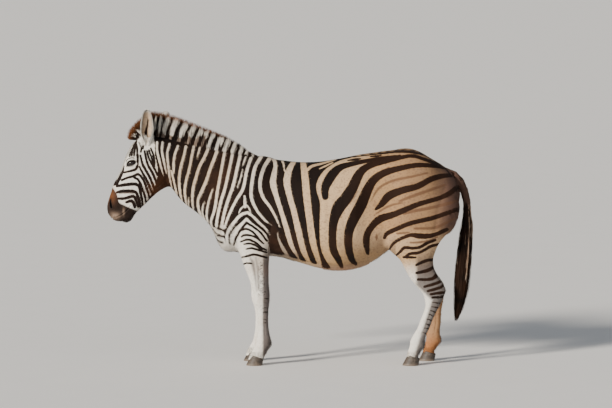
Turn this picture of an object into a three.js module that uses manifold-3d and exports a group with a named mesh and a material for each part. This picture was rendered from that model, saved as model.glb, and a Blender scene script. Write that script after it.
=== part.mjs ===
// A plains zebra, life size, standing still with its head held low on a level neck line.
// Frame: millimetres, +Z up, the nose towards -X, the animal's left side towards -Y. The origin is on the ground,
// under the middle of the overall length.
// The flesh is one smooth field: tubes of egg-shaped sections along straight axes, blended with ellipsoid muscles.
// Rings of points found on the field's surface, in sections that turn with the body's line, are lofted into the
// nodes; neighbours share a ring and stand a thin gap apart. Hooves, ears, mane and tail are lofts of their own.
import * as THREE from "three";
import { mergeVertices } from "three/addons/utils/BufferGeometryUtils.js";
import Module from "manifold-3d";

const wasm = await Module();
wasm.setup();

// ---------- Driving dimensions ----------
const GAP = 0.3; // between touching pieces
const HALF_GAP = GAP / 2;
const REST_GAP = 0.5; // between the flesh and what grows on it
const FORE_SPREAD = 118; // half the distance between the front hooves
const HIND_SPREAD = 121; // half the distance between the hind hooves
const FAR_FORE_STEP = -20; // the right front foot stands this far ahead of the left one
const FAR_HIND_STEP = 110; // and the right hind foot this far behind

// A tube station: along, upper edge, lower edge, half width, where between the edges it is widest (0 lower,
// 1 upper), roundness of the upper and of the lower half (2 is an ellipse, less is pinched, more is boxy), and
// the sideways offset of the section's middle.
const TRUNK = {
  origin: [0, 0, 0],
  along: [1, 0, 0],
  upper: [0, 0, 1],
  caps: [45, 48],
  stations: [
    [-458, 915, 790, 95, 0.45, 2, 2, 0],
    [-412, 975, 747, 138, 0.43, 1.9, 2.1, 0],
    [-362, 1070, 717, 164, 0.42, 1.9, 2.1, 0],
    [-300, 1175, 700, 182, 0.42, 1.8, 2.1, 0],
    [-237, 1262, 690, 194, 0.42, 1.7, 2.2, 0],
    [-175, 1303, 684, 202, 0.42, 1.65, 2.3, 0],
    [-62, 1290, 674, 218, 0.42, 1.75, 2.3, 0],
    [62, 1277, 637, 242, 0.44, 1.95, 2.2, 0],
    [187, 1280, 602, 263, 0.46, 2.1, 2.1, 0],
    [312, 1299, 590, 271, 0.47, 2.15, 2.1, 0],
    [437, 1324, 609, 266, 0.5, 2.15, 2.1, 0],
    [531, 1338, 652, 252, 0.52, 2.15, 2.1, 0],
    [625, 1350, 718, 238, 0.54, 2.15, 2.1, 0],
    [700, 1352, 762, 232, 0.54, 2.15, 2, 0],
    [781, 1339, 786, 226, 0.52, 2.1, 2, 0],
    [875, 1304, 815, 208, 0.5, 2.1, 2, 0],
    [956, 1260, 865, 172, 0.5, 2.1, 2, 0],
    [1012, 1212, 930, 132, 0.5, 2.1, 2, 0],
    [1068, 1150, 1000, 95, 0.5, 2.1, 2, 0],
  ],
};
const NECK = {
  origin: [-281, 0, 1102],
  along: [-0.875, 0, 0.484],
  upper: [0.484, 0, 0.875],
  caps: [90, 60],
  stations: [
    [-130, 215, -330, 150, 0.45, 1.7, 2.1, 0],
    [0, 218, -340, 150, 0.45, 1.7, 2.1, 0],
    [70, 200, -312, 137, 0.44, 1.7, 2.1, 0],
    [187, 163, -282, 111, 0.42, 1.7, 2.1, 0],
    [312, 125, -262, 90, 0.42, 1.75, 2.1, 0],
    [437, 86, -208, 77, 0.44, 1.8, 2.1, 0],
    [562, 54, -152, 71, 0.46, 1.9, 2.1, 0],
    [675, 22, -105, 62, 0.5, 2, 2, 0],
  ],
};
const HEAD = {
  origin: [-875, 0, 1415],
  along: [-0.418, 0, -0.909],
  upper: [-0.909, 0, 0.418],
  caps: [34, 40],
  stations: [
    [-34, 56, -110, 60, 0.6, 2.2, 2, 0],
    [0, 66, -120, 64, 0.6, 2.2, 2, 0],
    [31, 80, -142, 70, 0.62, 2.3, 2, 0],
    [69, 98, -175, 78, 0.64, 2.5, 2, 0],
    [119, 104, -206, 88, 0.68, 2.6, 1.9, 0],
    [169, 105, -220, 93, 0.7, 2.5, 1.8, 0],
    [225, 99, -214, 86, 0.68, 2.2, 1.8, 0],
    [269, 98, -186, 73, 0.64, 2.1, 1.9, 0],
    [312, 100, -163, 63, 0.6, 2, 1.9, 0],
    [350, 101, -147, 56, 0.56, 2, 2, 0],
    [387, 97, -134, 52, 0.54, 2.1, 2, 0],
    [419, 93, -121, 51, 0.54, 2.2, 2.1, 0],
    [456, 89, -106, 54, 0.56, 2.3, 2.2, 0],
    [487, 83, -96, 56, 0.56, 2.4, 2.2, 0],
    [520, 70, -84, 54, 0.56, 2.4, 2.2, 0],
    [556, 50, -58, 46, 0.54, 2.2, 2.2, 0],
  ],
};
// A leg runs along +Z: its upper edge is the back of the leg, its lower edge the front.
const FORELEG = {
  origin: [0, 0, 0],
  along: [0, 0, 1],
  upper: [1, 0, 0],
  caps: [10, 90],
  stations: [
    [28, -168, -268, 34, 0.5, 2.1, 2.1, 116],
    [62, -160, -254, 33, 0.5, 2.1, 2.1, 116],
    [100, -143, -235, 30, 0.5, 2.1, 2.1, 116],
    [130, -122, -219, 33, 0.5, 2.1, 2.1, 116],
    [160, -119, -212, 34, 0.5, 2.1, 2.1, 116],
    [194, -127, -206, 29, 0.5, 2.1, 2.2, 116],
    [240, -134, -203, 25, 0.45, 2, 2.2, 117],
    [300, -136, -203, 26, 0.45, 2, 2.2, 119],
    [350, -134, -212, 30, 0.45, 2, 2.2, 120],
    [387, -130, -225, 37, 0.45, 2, 2.3, 121],
    [419, -127, -229, 41, 0.45, 2, 2.3, 122],
    [456, -127, -231, 40, 0.45, 2, 2.3, 123],
    [500, -131, -242, 41, 0.45, 2, 2.2, 125],
    [550, -132, -260, 45, 0.45, 2, 2.1, 127],
    [600, -132, -279, 50, 0.45, 2, 2.1, 129],
    [644, -131, -297, 55, 0.45, 2, 2.1, 131],
    [700, -131, -314, 60, 0.45, 2, 2, 134],
    [770, -138, -330, 66, 0.45, 2, 2, 134],
    [850, -160, -338, 70, 0.45, 2, 2, 130],
    [930, -185, -330, 66, 0.45, 2, 2, 120],
  ],
};
const HINDLEG = {
  origin: [0, 0, 0],
  along: [0, 0, 1],
  upper: [1, 0, 0],
  caps: [10, 120],
  stations: [
    [28, 815, 725, 34, 0.5, 2.1, 2.1, 121],
    [62, 808, 735, 32, 0.5, 2.1, 2.1, 121],
    [94, 821, 743, 30, 0.5, 2.1, 2.1, 121],
    [125, 846, 752, 34, 0.5, 2.1, 2.1, 121],
    [156, 848, 756, 35, 0.5, 2.1, 2.1, 121],
    [194, 858, 775, 30, 0.5, 2.1, 2.2, 121],
    [237, 878, 800, 27, 0.45, 2, 2.2, 121],
    [287, 897, 819, 28, 0.45, 2, 2.2, 121],
    [337, 919, 839, 30, 0.42, 2, 2.2, 121],
    [375, 940, 849, 34, 0.4, 1.9, 2.2, 121],
    [412, 957, 846, 40, 0.38, 1.8, 2.2, 122],
    [450, 973, 834, 43, 0.36, 1.7, 2.2, 123],
    [480, 980, 812, 42, 0.34, 1.6, 2.2, 124],
    [519, 960, 777, 43, 0.36, 1.6, 2.1, 125],
    [562, 930, 746, 47, 0.38, 1.7, 2.1, 127],
    [612, 908, 719, 54, 0.4, 1.8, 2.1, 130],
    [662, 901, 692, 63, 0.42, 1.9, 2, 134],
    [706, 909, 655, 74, 0.44, 2, 2, 138],
    [769, 936, 621, 88, 0.46, 2, 2, 140],
    [831, 980, 606, 98, 0.48, 2, 2, 138],
    [894, 1020, 612, 104, 0.48, 2, 2, 133],
    [956, 1044, 628, 106, 0.48, 2, 2, 124],
    [1019, 1056, 655, 103, 0.48, 2, 2, 112],
    [1112, 1050, 700, 92, 0.48, 2, 2, 95],
  ],
};

const STEP_HEIGHTS = { fore: [650, 440], hind: [470, 150] }; // where a leg begins and ends to take its step

// Muscles and bones that shape the surface: middle, three radii, tilt in side view in degrees (positive leans
// the long upright radius towards the tail), and how softly each one blends in. Each is mirrored.
const MUSCLES = [
  { at: [-292, 108, 1080], size: [118, 72, 205], tilt: 26, soft: 80 }, // shoulder blade
  { at: [-232, 132, 862], size: [100, 66, 130], tilt: 10, soft: 70 }, // upper arm
  { at: [-378, 90, 868], size: [72, 72, 105], tilt: 15, soft: 60 }, // point of the shoulder
  { at: [-396, 48, 800], size: [58, 58, 80], tilt: 0, soft: 50 }, // breast
  { at: [618, 170, 1226], size: [75, 44, 52], tilt: 0, soft: 60 }, // hip bone
  { at: [780, 112, 1172], size: [185, 110, 140], tilt: 60, soft: 80 }, // rump
  { at: [745, 142, 935], size: [150, 96, 190], tilt: -12, soft: 80 }, // thigh
  { at: [972, 88, 1010], size: [76, 78, 180], tilt: -4, soft: 60 }, // buttock
  { at: [668, 155, 795], size: [46, 54, 66], tilt: 10, soft: 55 }, // stifle
];
const HEAD_MUSCLES = [
  { at: [200, -92, 50], size: [92, 88, 34], soft: 30 }, // cheek: along, upper, sideways
  { at: [150, 50, 66], size: [52, 40, 32], soft: 22 }, // brow above the eye
  { at: [470, 42, 30], size: [50, 36, 30], soft: 20 }, // nostril wing
  { at: [498, -66, 0], size: [44, 30, 34], soft: 20 }, // chin
];
const HOLLOWS = [
  { at: [560, 278, 1050], size: [92, 44, 165], tilt: 12, soft: 90 }, // flank before the hip
];
const EYE = { along: 180, upper: 50, side: 76, radius: 24 };

// ---------- The field ----------
const smoothMin = (a, b, k) => {
  const h = Math.max(k - Math.abs(a - b), 0) / k;
  return Math.min(a, b) - (h * h * k) / 4;
};
const smoothMax = (a, b, k) => -smoothMin(-a, -b, k);

// The station fields at t, by a cubic through the stations that eases with uneven spacing.
function stationAt(stations, t) {
  const last = stations.length - 1;
  let i = 0;
  while (i < last - 1 && t > stations[i + 1][0]) i++;
  const a = stations[i];
  const b = stations[i + 1];
  const span = b[0] - a[0];
  const s = THREE.MathUtils.clamp((t - a[0]) / span, 0, 1);
  const before = stations[Math.max(i - 1, 0)];
  const after = stations[Math.min(i + 2, last)];
  const found = [t];
  for (let k = 1; k < a.length; k++) {
    const slopeA = ((b[k] - before[k]) / (b[0] - before[0])) * span;
    const slopeB = ((after[k] - a[k]) / (after[0] - a[0])) * span;
    const rise = b[k] - a[k];
    const curve = s * (1 - s) * ((slopeA - rise) * (1 - s) + (rise - slopeB) * s);
    found.push(a[k] + rise * s + curve);
  }
  return found;
}

// How far the point (t, u, v) of a tube's own frame lies outside the tube.
function tubeDistance(tube, t, u, v) {
  const { stations, caps } = tube;
  const first = stations[0][0];
  const end = stations[stations.length - 1][0];
  const beyond = Math.max(first - t, t - end, 0);
  const [, top, bottom, width, level, roundTop, roundBottom, aside] = stationAt(
    stations,
    THREE.MathUtils.clamp(t, first, end),
  );
  const middle = bottom + (top - bottom) * level;
  const du = u - middle;
  const dv = Math.abs(v - aside);
  const reach = du > 0 ? top - middle : middle - bottom;
  const power = du > 0 ? roundTop : roundBottom;
  const out = Math.hypot(du, dv);
  const share = ((Math.abs(du) / reach) ** power + (dv / width) ** power) ** (1 / power);
  const fromStart = Math.min((t - first) / caps[0], 1);
  const fromEnd = Math.min((end - t) / caps[1], 1);
  const cap = (x) => Math.sqrt(Math.max(1 - (1 - x) ** 2, 0));
  const shrink = beyond > 0 ? 0 : cap(Math.max(fromStart, 0)) * cap(Math.max(fromEnd, 0));
  const radius = share > 1e-6 ? out / share : Math.min(reach, width);
  return Math.hypot(Math.max(out - radius * shrink, 0), beyond) + Math.min(out - radius * shrink, 0);
}

const inFrame = (frame, x, y, z) => {
  const dx = x - frame.origin[0];
  const dz = z - frame.origin[2];
  return [
    dx * frame.along[0] + dz * frame.along[2],
    dx * frame.upper[0] + dz * frame.upper[2],
    y,
  ];
};

function ellipsoidDistance(dx, dy, dz, [a, b, c]) {
  const near = Math.hypot(dx / a, dy / b, dz / c);
  const slope = Math.hypot(dx / (a * a), dy / (b * b), dz / (c * c));
  return slope < 1e-9 ? -Math.min(a, b, c) : (near * (near - 1)) / slope;
}

function muscleDistance({ at, size, tilt }, x, y, z) {
  const turn = THREE.MathUtils.degToRad(tilt);
  const dx = x - at[0];
  const dz = z - at[2];
  const across = dx * Math.cos(turn) - dz * Math.sin(turn);
  const upright = dx * Math.sin(turn) + dz * Math.cos(turn);
  return ellipsoidDistance(across, Math.abs(y) - at[1], upright, size);
}

// The share of the step between the two feet of a pair that a leg has taken at height z.
const stepShare = (z, [from, to]) => THREE.MathUtils.clamp((from - z) / (from - to), 0, 1);

function legDistance(leg, x, y, z, step, heights) {
  const shift = y > 0 ? step * stepShare(z, heights) : 0;
  return tubeDistance(leg, z, x - shift, Math.abs(y));
}

function headDistance(x, y, z) {
  const [t, u, v] = inFrame(HEAD, x, y, z);
  let d = tubeDistance(HEAD, t, u, v);
  for (const { at, size, soft } of HEAD_MUSCLES)
    d = smoothMin(d, ellipsoidDistance(t - at[0], u - at[1], Math.abs(v) - at[2], size), soft);
  return d;
}

// Negative inside the flesh, positive outside, close to a distance near the surface.
function flesh(x, y, z) {
  let d = tubeDistance(TRUNK, x, z, y);
  if (z > 600) for (const m of MUSCLES) d = smoothMin(d, muscleDistance(m, x, y, z), m.soft);
  for (const h of HOLLOWS) d = smoothMax(d, -muscleDistance(h, x, y, z), h.soft);
  if (x < -60) d = smoothMin(d, legDistance(FORELEG, x, y, z, FAR_FORE_STEP, STEP_HEIGHTS.fore), 50);
  if (x > 480) d = smoothMin(d, legDistance(HINDLEG, x, y, z, FAR_HIND_STEP, STEP_HEIGHTS.hind), 60);
  if (x < -40) d = smoothMin(d, tubeDistance(NECK, ...inFrame(NECK, x, y, z)), 70);
  if (x < -680) d = smoothMin(d, headDistance(x, y, z), 45);
  return d;
}

// ---------- Sections of the flesh ----------
// The first point of the surface met from a start inside the flesh.
function surfacePoint(field, from, direction, furthest) {
  const at = (r) => from.map((n, k) => n + r * direction[k]);
  let inside = 0;
  let outside = 0;
  while (outside < furthest && field(...at(outside)) < 0) {
    inside = outside;
    outside += 8;
  }
  for (let i = 0; i < 14; i++) {
    const middle = (inside + outside) / 2;
    if (field(...at(middle)) < 0) inside = middle;
    else outside = middle;
  }
  return at(inside);
}

// A section is [x, z, heading, aspect, opening]: its middle, the direction of travel in degrees from +X towards
// +Z, its width over its height, and how far its rays open from straight ahead (90 for a flat section, less
// for the rings that round off an end).
function ring(field, [x, z, heading, aspect, opening = 90], middleY, sides, furthest) {
  const turn = THREE.MathUtils.degToRad(heading);
  const ahead = [Math.cos(turn), 0, Math.sin(turn)];
  const up = [-Math.sin(turn), 0, Math.cos(turn)];
  const spread = Math.sin(THREE.MathUtils.degToRad(opening));
  const forward = Math.cos(THREE.MathUtils.degToRad(opening));
  return Array.from({ length: sides }, (_, i) => {
    const around = (i / sides) * 2 * Math.PI;
    const [high, wide] = [Math.cos(around), aspect * Math.sin(around)];
    const size = Math.hypot(high, wide);
    const direction = [0, 1, 2].map(
      (k) => forward * ahead[k] + (spread * (high * up[k] + (k === 1 ? wide : 0))) / size,
    );
    return surfacePoint(field, [x, middleY, z], direction, furthest);
  });
}

// The rings of one node, its first and last moved inwards by half a gap where it meets a neighbour.
function tube(field, sections, { middleY = () => 0, sides, furthest = 900, joinFirst, joinLast }) {
  const rings = sections.map((section) => ring(field, section, middleY(section), sides, furthest));
  const shift = (points, heading, by) => {
    const turn = THREE.MathUtils.degToRad(heading);
    return points.map(([x, y, z]) => [x + by * Math.cos(turn), y, z + by * Math.sin(turn)]);
  };
  const last = rings.length - 1;
  if (joinFirst) rings[0] = shift(rings[0], sections[0][2], HALF_GAP);
  if (joinLast) rings[last] = shift(rings[last], sections[last][2], -HALF_GAP);
  return loft(rings);
}

function meshGeometry(points, triangles) {
  const geometry = new THREE.BufferGeometry();
  geometry.setAttribute("position", new THREE.Float32BufferAttribute(points.flat(), 3));
  geometry.setIndex(triangles);
  return geometry;
}

// ---------- Joining and cutting ----------
function solidOf(geometry) {
  const bare = geometry.clone();
  bare.deleteAttribute("normal");
  bare.deleteAttribute("uv");
  const merged = mergeVertices(bare, 1e-3);
  return new wasm.Manifold(
    new wasm.Mesh({
      numProp: 3,
      vertProperties: new Float32Array(merged.attributes.position.array),
      triVerts: new Uint32Array(merged.index.array),
    }),
  );
}

function geometryOf(solid) {
  const { vertProperties, triVerts } = solid.getMesh();
  const geometry = new THREE.BufferGeometry();
  geometry.setAttribute("position", new THREE.BufferAttribute(vertProperties, 3));
  geometry.setIndex(new THREE.BufferAttribute(triVerts, 1));
  geometry.computeVertexNormals();
  return geometry;
}

// The solid with every corner moved outwards.
function grown(solid, by) {
  const geometry = geometryOf(solid);
  const { position, normal } = geometry.attributes;
  for (let i = 0; i < position.count; i++)
    position.setXYZ(
      i,
      position.getX(i) + by * normal.getX(i),
      position.getY(i) + by * normal.getY(i),
      position.getZ(i) + by * normal.getZ(i),
    );
  return solidOf(geometry);
}

// Everything on the side of the plane that the normal points to, as a large block.
function side(point, normal, gap = HALF_GAP) {
  const size = 4000;
  const towards = new THREE.Vector3(...normal).normalize();
  const box = new THREE.BoxGeometry(size, size, size);
  box.applyQuaternion(new THREE.Quaternion().setFromUnitVectors(new THREE.Vector3(0, 0, 1), towards));
  const middle = new THREE.Vector3(...point).addScaledVector(towards, size / 2 + gap);
  return solidOf(box.translate(middle.x, middle.y, middle.z));
}

const largest = (solid) =>
  solid.decompose().reduce((most, piece) => (piece.volume() > most.volume() ? piece : most));

// A closed loft through rings of equally many points.
function loft(rings) {
  const n = rings[0].length;
  const points = rings.flat();
  const triangles = [];
  for (let r = 0; r < rings.length - 1; r++)
    for (let i = 0; i < n; i++) {
      const [a, b] = [r * n + i, r * n + ((i + 1) % n)];
      triangles.push(a, b, b + n, a, b + n, a + n);
    }
  for (const [start, order] of [[0, -1], [(rings.length - 1) * n, 1]]) {
    const ring = rings[start / n];
    const middle = [0, 1, 2].map((k) => ring.reduce((sum, p) => sum + p[k], 0) / n);
    points.push(middle);
    for (let i = 0; i < n; i++) {
      const [a, b] = [start + i, start + ((i + 1) % n)];
      triangles.push(...(order > 0 ? [a, b, points.length - 1] : [b, a, points.length - 1]));
    }
  }
  const solid = solidOf(meshGeometry(points, triangles));
  if (solid.volume() > 0) return solid;
  for (let i = 0; i < triangles.length; i += 3)
    [triangles[i + 1], triangles[i + 2]] = [triangles[i + 2], triangles[i + 1]];
  return solidOf(meshGeometry(points, triangles));
}

// ---------- Where the flesh is parted ----------
const BODY_SIDES = 32;
const LEG_SIDES = 16;
// From the rump to the nose.
const TRUNK_SECTIONS = [
  [945, 1085, 180, 1, 168],
  [945, 1085, 180, 1, 146],
  [945, 1085, 180, 0.95, 126],
  [945, 1085, 180, 0.85, 108],
  [945, 1085, 180, 0.8],
  [885, 1070, 180, 0.8],
  [825, 1060, 180, 0.8],
  [765, 1050, 180, 0.8],
  [705, 1040, 180, 0.8],
  [645, 1025, 180, 0.8],
  [585, 1010, 180, 0.8],
  [525, 1000, 180, 0.8],
  [450, 985, 180, 0.8],
  [365, 970, 180, 0.8],
  [275, 960, 180, 0.8],
  [185, 960, 180, 0.8],
  [95, 960, 180, 0.75],
  [15, 965, 180, 0.7],
  [-60, 975, 179, 0.65],
  [-125, 985, 177, 0.62],
  [-180, 995, 173, 0.6],
  [-230, 1005, 169, 0.58],
  [-275, 1015, 165, 0.56],
  [-316, 1025, 161, 0.54],
  [-355, 1035, 157, 0.52],
];
const NECK_SECTIONS = [
  [-355, 1035, 157, 0.52],
  [-415, 1085, 155, 0.5],
  [-472, 1130, 154, 0.48],
  [-527, 1165, 154, 0.45],
  [-582, 1195, 156, 0.42],
  [-634, 1222, 160, 0.42],
  [-686, 1246, 167, 0.43],
  [-740, 1266, 178, 0.44],
  [-795, 1280, 191, 0.45],
];
const HEAD_SECTIONS = [
  [-795, 1280, 191, 0.45],
  [-828, 1268, 201, 0.47],
  [-858, 1250, 211, 0.49],
  [-883, 1227, 221, 0.52],
  [-902, 1202, 230, 0.55],
  [-917, 1178, 238, 0.58],
  [-929, 1153, 246, 0.6],
  [-942, 1125, 246, 0.6],
  [-956, 1098, 246, 0.6],
  [-972, 1071, 246, 0.6],
  [-989, 1046, 246, 0.6],
  [-1007, 1022, 246, 0.62],
  [-1024, 999, 246, 0.65],
  [-1038, 976, 246, 0.68],
  [-1049, 955, 246, 0.7],
  [-1049, 955, 246, 0.7, 72],
  [-1049, 955, 246, 0.75, 54],
  [-1049, 955, 246, 0.85, 36],
  [-1049, 955, 246, 1, 18],
];
const HEAD_REACH = 260;
const NECK_REACH = 420;
// Legs, from the trunk down. The last ring of the upper leg is the first of the lower one.
const FORE_UPPER_SECTIONS = [
  [-222, 655, 270, 1.35],
  [-217, 617, 270, 1.3],
  [-209, 578, 270, 1.3],
  [-200, 540, 270, 1.3],
  [-190, 500, 270, 1.3],
  [-181, 468, 270, 1.3],
  [-179, 436, 270, 1.3],
];
const FORE_LOWER_SECTIONS = [
  [-179, 436, 270, 1.3],
  [-178, 410, 270, 1.3],
  [-177, 380, 270, 1.3],
  [-173, 345, 270, 1.3],
  [-170, 300, 270, 1.3],
  [-169, 255, 270, 1.3],
  [-167, 218, 270, 1.3],
  [-165, 188, 268, 1.3],
  [-167, 162, 264, 1.3],
  [-173, 138, 258, 1.3],
  [-183, 112, 252, 1.3],
  [-195, 86, 252, 1.3],
  [-205, 62, 252, 1.3],
];
const HIND_UPPER_SECTIONS = [
  [795, 745, 288, 1.9],
  [792, 707, 283, 1.8],
  [798, 668, 278, 1.7],
  [810, 632, 274, 1.65],
  [828, 595, 271, 1.65],
  [850, 558, 270, 1.7],
  [876, 519, 270, 1.75],
];
const HIND_LOWER_SECTIONS = [
  [876, 519, 270, 1.75],
  [897, 488, 268, 1.75],
  [903, 457, 264, 1.6],
  [899, 425, 262, 1.5],
  [892, 392, 258, 1.45],
  [879, 350, 256, 1.4],
  [863, 303, 256, 1.4],
  [846, 255, 256, 1.4],
  [829, 215, 256, 1.35],
  [812, 182, 256, 1.3],
  [802, 155, 256, 1.3],
  [796, 130, 253, 1.3],
  [784, 103, 250, 1.3],
  [775, 80, 252, 1.3],
  [769, 60, 252, 1.3],
];

// The planes that part the trunk from the legs, and the hair from the hooves.
const FORE_CUT = { at: [-222, 0, 655], towards: [0, 0, -1] };
const HIND_CUT = { at: [795, 0, 745], towards: [0.309, 0, -0.951] };
const CORONET = { height: 62, slope: -0.325 }; // the hoof's upper edge falls towards the heel
const STUB = 35; // how far the trunk's surface is followed past the cuts

const within = (solid, cuts) =>
  cuts.reduce((left, { at, towards }) => left.intersect(side(at, towards)), solid);
const opposite = ({ at, towards }) => ({ at, towards: towards.map((n) => -n) });
const past = ({ at, towards }, x, z) => (x - at[0]) * towards[0] + (z - at[2]) * towards[2];
const hoofTop = (x) => ({ at: [x, 0, CORONET.height], towards: [-CORONET.slope, 0, 1] });

// The flesh of the trunk alone, its legs ended a little below the cuts.
const trunkField = (x, y, z) => Math.max(flesh(x, y, z), past(x < 200 ? FORE_CUT : HIND_CUT, x, z) - STUB);

// The four legs: sign of y, where the hoof's middle stands, and their sections.
const FORE = {
  table: FORELEG, heights: STEP_HEIGHTS.fore, hoofX: -224, spread: FORE_SPREAD,
  upper: FORE_UPPER_SECTIONS, lower: FORE_LOWER_SECTIONS,
};
const HIND = {
  table: HINDLEG, heights: STEP_HEIGHTS.hind, hoofX: 760, spread: HIND_SPREAD,
  upper: HIND_UPPER_SECTIONS, lower: HIND_LOWER_SECTIONS,
};
const LEGS = [
  { name: "fore_left", sign: -1, step: 0, ...FORE },
  { name: "fore_right", sign: 1, step: FAR_FORE_STEP, ...FORE },
  { name: "hind_left", sign: -1, step: 0, ...HIND },
  { name: "hind_right", sign: 1, step: FAR_HIND_STEP, ...HIND },
];

// A hoof: a slanted cone on a flat sole, cut where the hair begins.
function hoofSolid({ sign, hoofX, step, spread }) {
  const sides = 18;
  const ringAt = (z, middle, halfLength, halfWidth) =>
    Array.from({ length: sides }, (_, i) => {
      const turn = (i / sides) * 2 * Math.PI;
      const heel = 1 - 0.12 * Math.max(Math.cos(turn), 0);
      return [
        hoofX + step + middle + halfLength * heel * Math.cos(turn),
        sign * spread + halfWidth * Math.sin(turn),
        z,
      ];
    });
  const whole = loft([ringAt(0, 0, 55, 45), ringAt(40, 14, 48, 40), ringAt(90, 30, 40, 36)]);
  return within(whole, [opposite(hoofTop(hoofX + step))]);
}

// ---------- Ears, eyes, mane and tail ----------
const EARS = [
  { name: "ear_left", base: [-897, -62, 1402], tip: [-895, -112, 1613], opens: [-0.22, -0.97, 0.05] },
  { name: "ear_right", base: [-886, 62, 1404], tip: [-772, 84, 1590], opens: [-0.25, 0.95, 0.2] },
];
const EAR_WIDTH = 43; // half the width where the ear is widest
const EAR_DEPTH = 30;
const EAR_WALL = 6;

// A leaf-shaped cup: an outer and an inner skin that meet at the rim.
function earSolid({ base, tip, opens }) {
  const foot = new THREE.Vector3(...base);
  const axis = new THREE.Vector3(...tip).sub(foot);
  const length = axis.length();
  axis.normalize();
  const front = new THREE.Vector3(...opens).addScaledVector(axis, -new THREE.Vector3(...opens).dot(axis));
  front.normalize();
  const across = new THREE.Vector3().crossVectors(axis, front);
  const around = 8;
  const rings = [0, 0.12, 0.26, 0.44, 0.62, 0.79, 0.91, 0.98].map((s) => {
    const leaf = Math.sin(Math.PI * (0.2 + 0.8 * s) ** 1.12) ** (0.8 - 0.45 * s);
    const half = Math.max(EAR_WIDTH * leaf, 3.5);
    const depth = EAR_DEPTH * leaf + 2;
    const open = THREE.MathUtils.lerp(2.7, 1.75, Math.min(s * 2.2, 1));
    const arc = (wall) =>
      Array.from({ length: around }, (_, i) => {
        const turn = THREE.MathUtils.lerp(-open, open, i / (around - 1));
        return foot
          .clone()
          .addScaledVector(axis, s * length)
          .addScaledVector(across, (half - wall) * Math.sin(turn))
          .addScaledVector(front, -(depth - wall) * Math.cos(turn))
          .toArray();
      });
    const wall = Math.min(EAR_WALL, half * 0.45);
    return [...arc(0), ...arc(wall).reverse()];
  });
  return loft(rings);
}

function eyeSphere(sign, radius) {
  const at = [0, 2].map((k) => HEAD.origin[k] + EYE.along * HEAD.along[k] + EYE.upper * HEAD.upper[k]);
  return solidOf(new THREE.SphereGeometry(radius, 16, 10).translate(at[0], sign * EYE.side, at[1]));
}

// The standing hair, from the brow to the withers: root x and z, tip x and z, half the thickness.
const FORELOCK = [
  [-957, 1420, -1020, 1412, 15],
  [-950, 1426, -1031, 1441, 19],
  [-940, 1430, -1023, 1477, 22],
  [-926, 1434, -1000, 1511, 24],
  [-907, 1438, -963, 1549, 26],
  [-882, 1440, -920, 1588, 27],
];
const MANE = [
  [-880, 1440, -916, 1590, 27],
  [-850, 1436, -866, 1608, 27],
  [-805, 1430, -810, 1603, 27],
  [-745, 1418, -748, 1585, 27],
  [-685, 1404, -687, 1566, 26],
  [-622, 1388, -625, 1541, 25],
  [-560, 1374, -562, 1516, 24],
  [-498, 1361, -500, 1491, 23],
  [-435, 1346, -437, 1465, 21],
  [-372, 1333, -375, 1433, 19],
  [-310, 1318, -312, 1396, 17],
  [-260, 1307, -262, 1352, 15],
  [-215, 1296, -213, 1322, 13],
];
const BLADE = [[-1, 0], [-0.97, 0.35], [-0.66, 0.85], [0, 1], [0.66, 0.85], [0.97, 0.35], [1, 0]];
const ROOT_DEPTH = 14; // how deep the hair's foot is taken before the flesh is cut away

const standingHair = (rows) =>
  loft(
    rows.map(([x0, z0, x1, z1, half]) => {
      const length = Math.hypot(x1 - x0, z1 - z0);
      return BLADE.map(([y, up]) => {
        const s = up - (1 - up) * (ROOT_DEPTH / length);
        return [x0 + (x1 - x0) * s, y * half, z0 + (z1 - z0) * s];
      });
    }),
  );

// A tube of round rings along a line of stations: x, z, half thickness in side view, half width.
function hangingTube(stations, sides, steps) {
  const rings = [];
  for (let i = 0; i <= steps; i++) {
    const s = (i / steps) * (stations.length - 1);
    const [, x, z, half, wide] = stationAt(stations.map((row, n) => [n, ...row]), s);
    const ahead = stationAt(stations.map((row, n) => [n, ...row]), Math.min(s + 0.05, stations.length - 1));
    const behind = stationAt(stations.map((row, n) => [n, ...row]), Math.max(s - 0.05, 0));
    const line = new THREE.Vector2(ahead[1] - behind[1], ahead[2] - behind[2]).normalize();
    rings.push(
      Array.from({ length: sides }, (_, n) => {
        const turn = (n / sides) * 2 * Math.PI;
        return [x - line.y * half * Math.cos(turn), wide * Math.sin(turn), z + line.x * half * Math.cos(turn)];
      }),
    );
  }
  return loft(rings);
}
const DOCK = [
  [985, 1205, 34, 34],
  [1030, 1188, 34, 33],
  [1068, 1150, 31, 30],
  [1096, 1098, 27, 27],
  [1112, 1036, 25, 25],
  [1117, 960, 24, 24],
];
const TASSEL = [
  [1117, 958, 24, 24],
  [1119, 880, 36, 29],
  [1107, 760, 41, 33],
  [1093, 600, 45, 36],
  [1080, 450, 42, 34],
  [1062, 330, 26, 24],
  [1046, 256, 7, 7],
];

// ---------- The nodes ----------
const COLOURS = {
  coat: { color: 0xd9c8ae, roughness: 0.75 },
  muzzle: { color: 0x3a2a22, roughness: 0.6 },
  mane: { color: 0x4a372b, roughness: 0.8 },
  hair: { color: 0x2a211c, roughness: 0.8 },
  hoof: { color: 0x3b342e, roughness: 0.5 },
  eye: { color: 0x140d0a, roughness: 0.1 },
};

const zebra = new THREE.Group();
zebra.name = "zebra";
function add(name, solid, finish) {
  const mesh = new THREE.Mesh(
    geometryOf(solid),
    new THREE.MeshStandardMaterial({ ...COLOURS[finish], metalness: 0 }),
  );
  mesh.name = name;
  zebra.add(mesh);
  return solid;
}

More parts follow.
